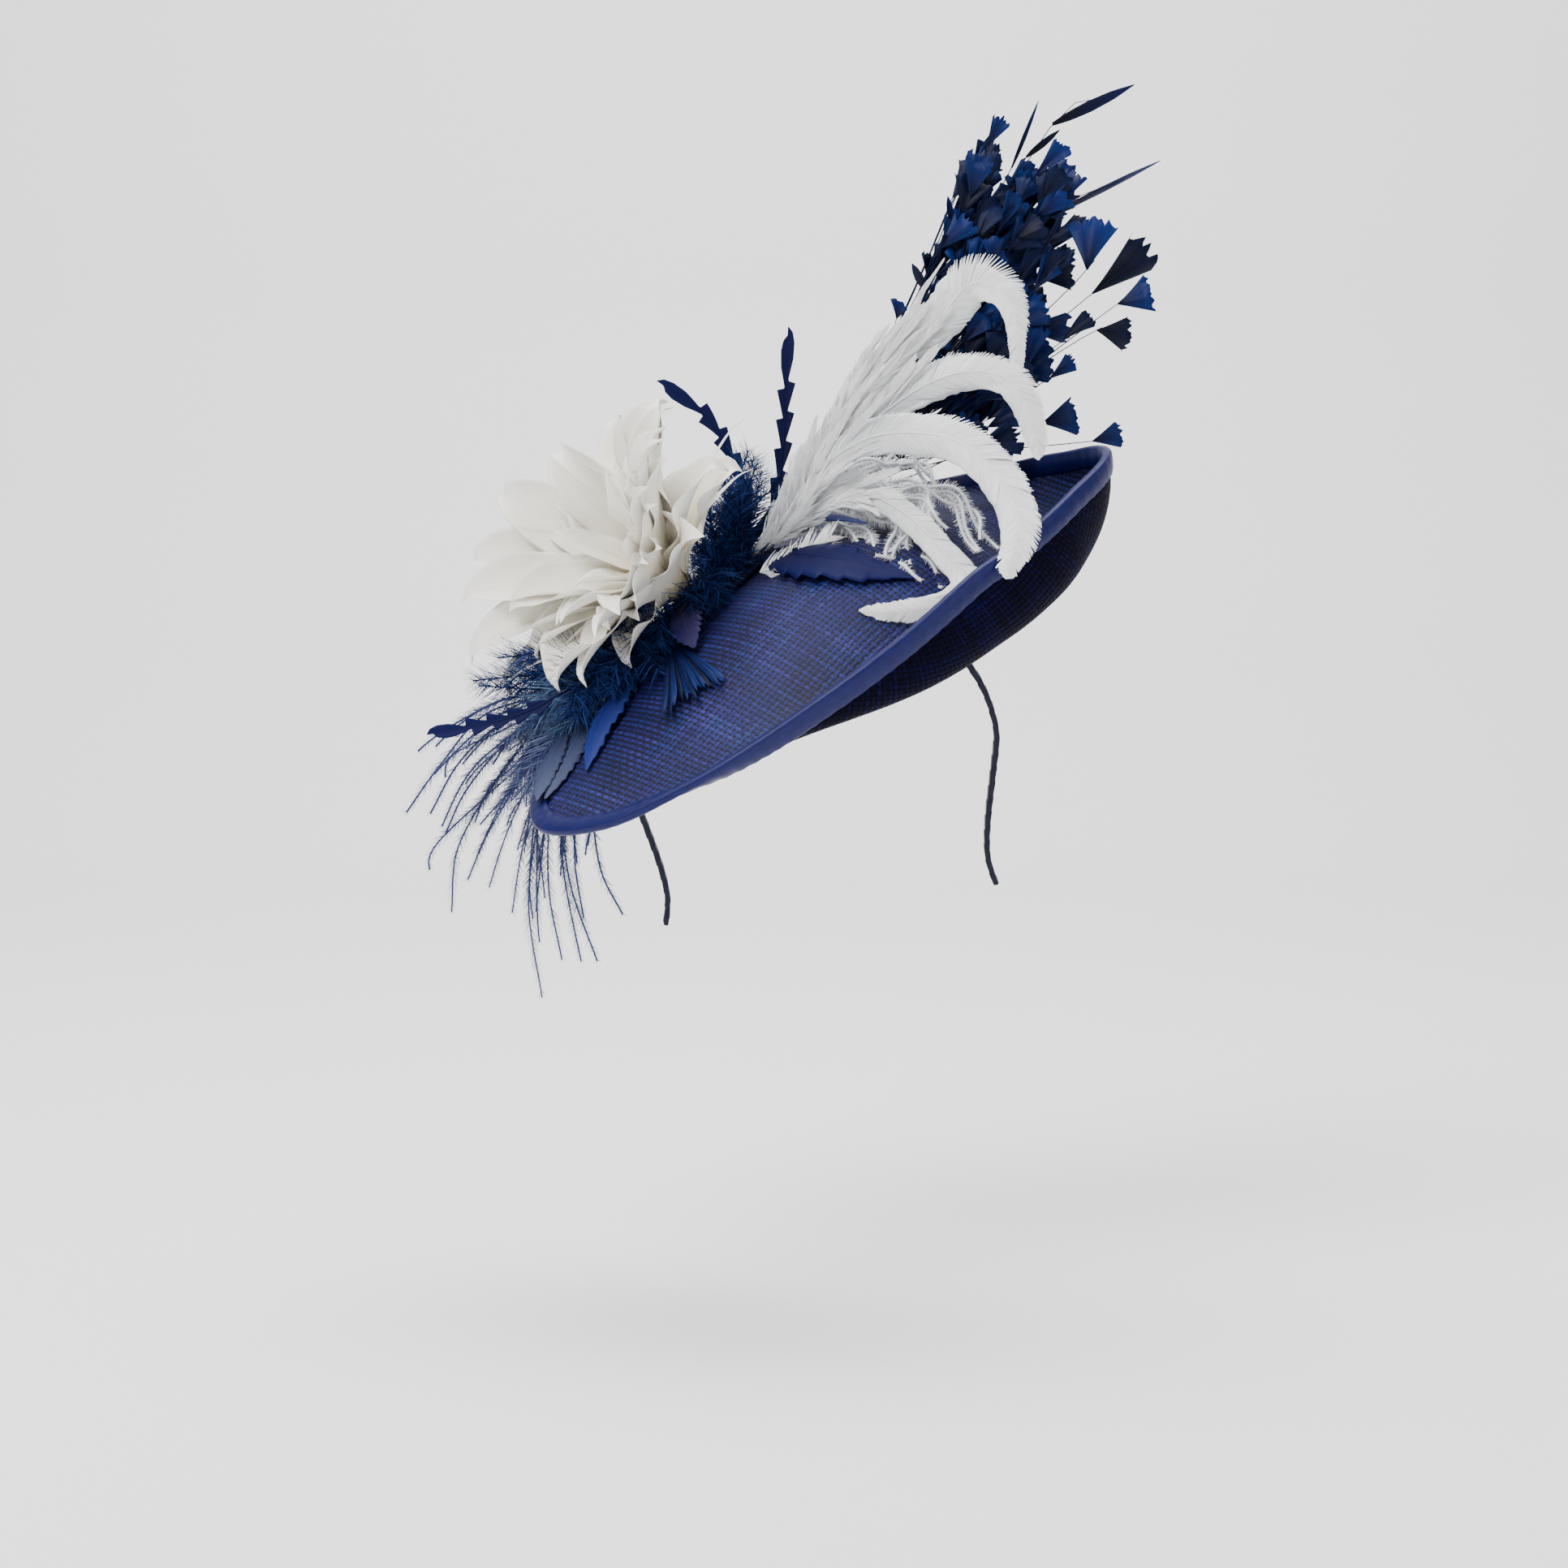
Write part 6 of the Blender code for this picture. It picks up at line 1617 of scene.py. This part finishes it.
@dataclass
class OstrichSpray:
    """The drooping navy ostrich spray: long thin fronds with loose flues."""

    form: SaucerForm
    grower: FlueGrower
    root: tuple[float, float] = (-0.455, -0.12)
    knob: float = 0.0040
    fronds: tuple = (
        ((-0.15, 0.08, -0.02), (-0.41, 0.10, -0.12), (-0.61, 0.10, -0.30), (-0.74, 0.08, -0.53)),
        ((-0.15, 0.10, -0.03), (-0.39, 0.14, -0.20), (-0.58, 0.16, -0.42), (-0.68, 0.16, -0.62)),
        ((-0.16, 0.12, -0.04), (-0.38, 0.20, -0.28), (-0.53, 0.22, -0.50), (-0.64, 0.22, -0.72),
         (-0.66, 0.20, -0.98)),
        ((-0.15, 0.08, 0.00), (-0.48, 0.06, -0.08), (-0.69, 0.04, -0.31), (-0.84, 0.02, -0.52)),
        ((-0.18, 0.14, -0.05), (-0.35, 0.24, -0.34), (-0.50, 0.26, -0.62), (-0.59, 0.24, -0.84)),
        ((-0.18, 0.16, -0.06), (-0.31, 0.28, -0.38), (-0.43, 0.32, -0.66), (-0.50, 0.30, -0.88)),
        ((-0.19, 0.18, -0.06), (-0.28, 0.32, -0.42), (-0.36, 0.36, -0.74), (-0.40, 0.34, -1.00)),
        ((-0.20, 0.20, -0.06), (-0.27, 0.36, -0.50), (-0.33, 0.40, -0.96), (-0.27, 0.38, -1.39)),
        ((-0.19, 0.20, -0.06), (-0.23, 0.38, -0.50), (-0.24, 0.42, -0.89), (-0.18, 0.40, -1.22)),
        ((-0.18, 0.22, -0.05), (-0.18, 0.40, -0.54), (-0.14, 0.44, -0.89), (-0.02, 0.42, -1.23)),
        ((-0.16, 0.24, -0.04), (-0.12, 0.40, -0.50), (-0.12, 0.42, -0.78), (-0.08, 0.40, -1.03)),
        ((-0.14, 0.26, -0.02), (-0.05, 0.38, -0.50), (0.00, 0.38, -0.81), (0.10, 0.36, -1.01)),
    )
    doubles: int = 3
    # Shorter strands that fill the spray's heart: how many, then the corners of where they end
    mass: int = 26
    mass_low: tuple[float, float] = (-0.46, -0.52)
    mass_high: tuple[float, float] = (-0.14, -0.12)

    def build(self) -> None:
        """Grow the flues along the fronds and along finer strands beside them."""
        rng = np.random.default_rng(55)
        root = self.form.on_mount(*self.root, self.knob)
        strands = []
        for frond in self.fronds:
            points = np.array(from_root(root, frond))
            strands.append(smooth_path(points, 36))
            for _ in range(self.doubles):
                share = np.linspace(0.0, 1.0, len(points))[:, None]
                shift = rng.normal(0.0, 0.0055, points.shape) * share
                finer = smooth_path(points + shift, 40)
                strands.append(finer[:int(rng.integers(24, 38))])
        flue = Flue(0.0058, 0.00032, width=0.075, angle=36.0, spread=0.30, droop=0.16, shaft=0.00040, seed=9)
        settle(self.grower.grow("drooping_ostrich", strands, flue, OSTRICH_FLUFF.make()), "navy_feather",
               "navy_ostrich_spray")
        masses = []
        low, high = np.array(self.mass_low), np.array(self.mass_high)
        for k in range(self.mass):
            x, z = low + (high - low) * np.array([GOLDEN_SHARE * k % 1.0, rng.random()])
            end = root + np.array([x, 0.10 + 0.10 * rng.random(), z]) * SPRAY_REACH
            middle = 0.5 * (root + end) + np.array([0.0, 0.004, 0.003]) + rng.normal(0.0, 0.002, 3)
            masses.append(smooth_path([root, middle, end], 20))
        flue = Flue(0.0125, 0.00030, width=0.034, angle=30.0, spread=0.42, droop=0.25, shaft=0.0003, seed=10)
        settle(self.grower.grow("ostrich_heart", masses, flue, OSTRICH_FLUFF.make()), "navy_feather")


@dataclass
class MarabouCollar:
    """Dark marabou fluff that is tucked round the flower."""

    form: SaucerForm
    grower: FlueGrower
    span: tuple[float, float] = (-0.44, 0.44)
    across: float = 0.20
    # Share along the mount, then the lock's tip as shares of the spray reach
    locks: tuple = (
        (0.34, 0.10, -0.05, 0.50), (0.30, 0.04, -0.01, 0.44), (0.26, 0.01, 0.02, 0.33),
        (0.22, 0.01, 0.04, 0.22),
        (0.32, 0.02, -0.16, 0.30), (0.26, -0.02, -0.12, 0.20), (0.36, 0.06, -0.10, 0.38),
        (-0.35, -0.48, -0.04, -0.02), (-0.34, -0.42, -0.02, 0.06), (-0.33, -0.33, -0.04, 0.02),
        (-0.28, -0.25, 0.02, 0.06), (-0.22, -0.17, 0.04, 0.10), (-0.16, -0.08, 0.06, 0.12),
        (-0.30, -0.20, -0.14, -0.02), (-0.20, -0.10, -0.16, 0.02), (-0.10, -0.04, -0.14, 0.04),
    )
    doubles: int = 3
    # Tufts that lie toward the brim in front of the flower: how many, reach along the floor, lift
    tufts: int = 64
    tuft_reach: tuple[float, float] = (0.016, 0.032)
    tuft_lift: tuple[float, float] = (0.004, 0.016)
    # Paler fluff at the left end: how many locks, their turn below level, depth and reach
    pale_locks: int = 34
    pale_turn: tuple[float, float] = (-0.30, 1.10)
    pale_rise: tuple[float, float] = (-0.45, 0.05)
    pale_reach: tuple[float, float] = (0.018, 0.034)

    def build(self) -> None:
        """Grow loose flues along the locks, the tufts and the strip that they stand on."""
        rng = np.random.default_rng(71)
        low, high = self.span
        spine = [self.form.on_mount(low + (high - low) * i / 8, self.across, 0.0016) for i in range(9)]
        strands = [smooth_path(spine, 50)]
        for along, x, y, z in self.locks:
            root = self.form.on_mount(along, self.across, 0.0016)
            tip = root + np.array([x, y, z]) * SPRAY_REACH
            for _ in range(self.doubles):
                end = tip + rng.normal(0.0, 0.006, 3)
                middle = 0.5 * (root + end) + np.array([0.0, -0.004, 0.004]) + rng.normal(0.0, 0.003, 3)
                strands.append(smooth_path([root, middle, end], 20))
        for k in range(self.tufts):
            u = low + (high - low) * (GOLDEN_SHARE * k % 1.0)
            root = self.form.on_mount(u, rng.uniform(-0.3, 0.3), 0.0010)
            turn = math.radians(rng.uniform(-60.0, 30.0) - 30.0 * (u < -0.2))
            way = -self.form.across * math.cos(turn) + self.form.along * math.sin(turn)
            reach = rng.uniform(*self.tuft_reach) * (1.0 - 0.7 * max(u, 0.0) / high)
            lift = rng.uniform(*self.tuft_lift)
            middle = root + way * (0.5 * reach) + self.form.up * lift
            strands.append(smooth_path([root, middle, root + way * reach + self.form.up * 0.7 * lift], 16))
        flue = Flue(0.0150, 0.00024, width=0.034, angle=38.0, spread=0.65, droop=0.15, shaft=0.0003, seed=13)
        settle(self.grower.grow("marabou_fluff", strands, flue, NAVY_FLUFF.make()), "backing",
               "marabou_collar")
        strands = []
        for k in range(self.pale_locks):
            root = self.form.on_mount(low + 0.16 * rng.random(), self.across * rng.uniform(-1.0, 1.0), 0.0030)
            turn, rise = (rng.uniform(*span) for span in (self.pale_turn, self.pale_rise))
            way = np.array([-math.cos(turn), rise, -math.sin(turn)])
            end = root + way * rng.uniform(*self.pale_reach)
            middle = 0.5 * (root + end) + np.array([0.0, -0.003, 0.003]) + rng.normal(0.0, 0.002, 3)
            strands.append(smooth_path([root, middle, end], 16))
        flue = Flue(0.0130, 0.00026, width=0.028, angle=28.0, spread=0.42, droop=0.10, shaft=0.0003, seed=14)
        settle(self.grower.grow("pale_marabou", strands, flue, PALE_FLUFF.make()), "backing")


@dataclass
class HiddenFittings:
    """What the feathers stand on: a felt strip with soft edges, and a core wound with cotton."""

    form: SaucerForm
    flower: FeatherFlower
    strip_thick: float = 0.0030
    strip_rings: int = 40
    strip_sides: int = 16
    wind_pitch: float = 0.0011
    wind_depth: float = 0.00018
    core_rings: int = 120
    core_sides: int = 20

    def build_strip(self) -> None:
        """Make the felt strip, which follows the saucer's top face."""
        places = -0.5 * np.cos(np.linspace(0.0, math.pi, self.strip_rings))
        angle = 2.0 * math.pi * (np.arange(self.strip_sides) + 0.5) / self.strip_sides
        across = np.sign(np.cos(angle)) * np.abs(np.cos(angle)) ** 0.35
        level = np.sign(np.sin(angle)) * np.abs(np.sin(angle)) ** 0.8
        rings = []
        for u in places:
            half = 0.5 * math.sqrt(max(1.0 - abs(2.0 * u) ** 6, 0.06))
            rings.append([self.form.on_mount(u, v * half, 0.5 * self.strip_thick * (w - 1.0))
                          for v, w in zip(across, level)])
        rings = np.array(rings)
        sheaf = Sheaf()
        sheaf.add_loft(rings, rings[:, :, :2], 0.5)
        settle(sheaf.build("felt_strip", MOUNT_FELT.make()), "backing", "spray_mount")

    def build_core(self) -> None:
        """Make the wound core, ridged by its thread."""
        way = unit(np.array(self.flower.core_turn))
        foot = self.form.on_mount(*self.flower.core_place, self.flower.collar_top)
        side = unit(np.cross(way, (0.0, 0.0, 1.0)))
        other = np.cross(way, side)
        big, small = self.flower.core_foot, self.flower.core_head
        shares = np.linspace(0.0, 1.0, self.core_rings)
        radii = read_table(((0.0, 0.6 * big), (0.06, 0.9 * big), (0.15, big), (0.5, 0.5 * (big + small)),
                            (0.9, small),
                            (1.0, 0.4 * small)), shares)
        angle = 2.0 * math.pi * np.arange(self.core_sides) / self.core_sides
        turns = shares[:, None] * self.flower.core_length / self.wind_pitch + angle[None, :] / (2.0 * math.pi)
        radii = radii[:, None] - self.wind_depth * (1.0 - np.abs(np.sin(math.pi * turns)))
        rings = (foot + way * (shares * self.flower.core_length)[:, None, None]
                 + side * (radii * np.cos(angle))[:, :, None] + other * (radii * np.sin(angle))[:, :, None])
        sheaf = Sheaf()
        sheaf.add_loft(rings, rings[:, :, :2], 0.5)
        settle(sheaf.build("wound_core", CORE_COTTON.make()), "ivory", "flower_core")


@dataclass
class Studio:
    """A pale seamless floor, soft lights and the camera."""

    floor_drop: float = 0.30
    target: Point = (-0.0043, 0.0, -0.0816)
    distance: float = 1.5
    elevation: float = 4.0
    lens: float = 77.6
    pale: str = "#F4F4F5"
    sky: float = 0.45
    # Name, place, side, watts, and what it looks at if not the hat
    lamps: tuple = (
        ("key", (-1.0, -1.3, 1.5), 1.1, 66.0),
        ("fill", (1.5, -1.2, 0.5), 1.4, 12.0),
        ("top", (0.0, 0.3, 1.8), 1.6, 34.0),
        ("backdrop", (0.0, 0.7, 1.9), 1.8, 40.0, (0.0, 2.0, 0.0)),
    )

    def floor(self) -> None:
        """Make the floor, which curves up into a backdrop."""
        profile = [(-3.0, 0.0), (1.2, 0.0), (1.7, 0.1), (2.0, 0.4), (2.1, 0.9), (2.1, 4.0)]
        path = smooth_path([(0.0, y, z) for y, z in profile], 40)
        left, right = path + np.array([-4.0, 0.0, 0.0]), path + np.array([4.0, 0.0, 0.0])
        points = np.stack([left, right], axis=1).reshape(-1, 3) - np.array([0.0, 0.0, self.floor_drop])
        first = np.arange(len(path) - 1) * 2
        quads = np.stack([first, first + 1, first + 3, first + 2], axis=1)
        sheaf = Sheaf()
        sheaf.add(points, quads, points[:, :2], np.ones(len(points)), np.ones(len(points)))
        material = bpy.data.materials.new("seamless_paper")
        material.use_nodes = True
        shader = material.node_tree.nodes["Principled BSDF"]
        shader.inputs["Base Color"].default_value = linear(self.pale)
        shader.inputs["Roughness"].default_value = 0.9
        sheaf.build("seamless_floor", material)

    def light(self, name: str, place: Point, size: float, watts: float, aim: Point | None = None) -> None:
        """Add a soft square light.

        Args:
            name: The light's name.
            place: Where it stands.
            size: The length of its side.
            watts: Its power.
            aim: What it looks at, if not the hat.
        """
        lamp = bpy.data.lights.new(name, "AREA")
        lamp.size = size
        lamp.energy = watts
        holder = bpy.data.objects.new(name, lamp)
        holder.location = place
        way = Vector(aim or self.target) - Vector(place)
        holder.rotation_euler = way.to_track_quat("-Z", "Y").to_euler()
        bpy.context.scene.collection.objects.link(holder)

    def camera(self) -> None:
        """Set the camera at the photographed angle."""
        lens = bpy.data.cameras.new("camera")
        lens.lens = self.lens
        lens.sensor_width = 36.0
        holder = bpy.data.objects.new("camera", lens)
        rise = math.radians(self.elevation)
        holder.location = (self.target[0], self.target[1] - self.distance * math.cos(rise),
                           self.target[2] + self.distance * math.sin(rise))
        holder.rotation_euler = (0.5 * math.pi - rise, 0.0, 0.0)
        bpy.context.scene.collection.objects.link(holder)
        bpy.context.scene.camera = holder

    def build(self) -> None:
        """Make the floor, the lights, the sky and the camera."""
        self.floor()
        for lamp in self.lamps:
            self.light(*lamp)
        world = bpy.data.worlds.new("pale_room")
        world.use_nodes = True
        sky = world.node_tree.nodes["Background"]
        sky.inputs["Color"].default_value = linear("#FFFFFF")
        sky.inputs["Strength"].default_value = self.sky
        bpy.context.scene.world = world
        self.camera()


def main() -> None:
    """Build the hat's looks and the studio."""
    logging.basicConfig(level=logging.INFO)
    Studio().build()
    form = SaucerForm()
    grower = FlueGrower()
    SinamaySaucer(form).build()
    BrimBinding(form).build()
    Headband().build()
    MarabouCollar(form, grower).build()
    flower = FeatherFlower(form)
    flower.build()
    fittings = HiddenFittings(form, flower)
    fittings.build_strip()
    fittings.build_core()
    WhiteCoques(form).build()
    ArrowQuills(form).build()
    LyingFeathers(form).build()
    FanSpray(form).build()
    OstrichCurls(form, grower).build()
    OstrichSpray(form, grower).build()


if __name__ == "__main__":
    main()
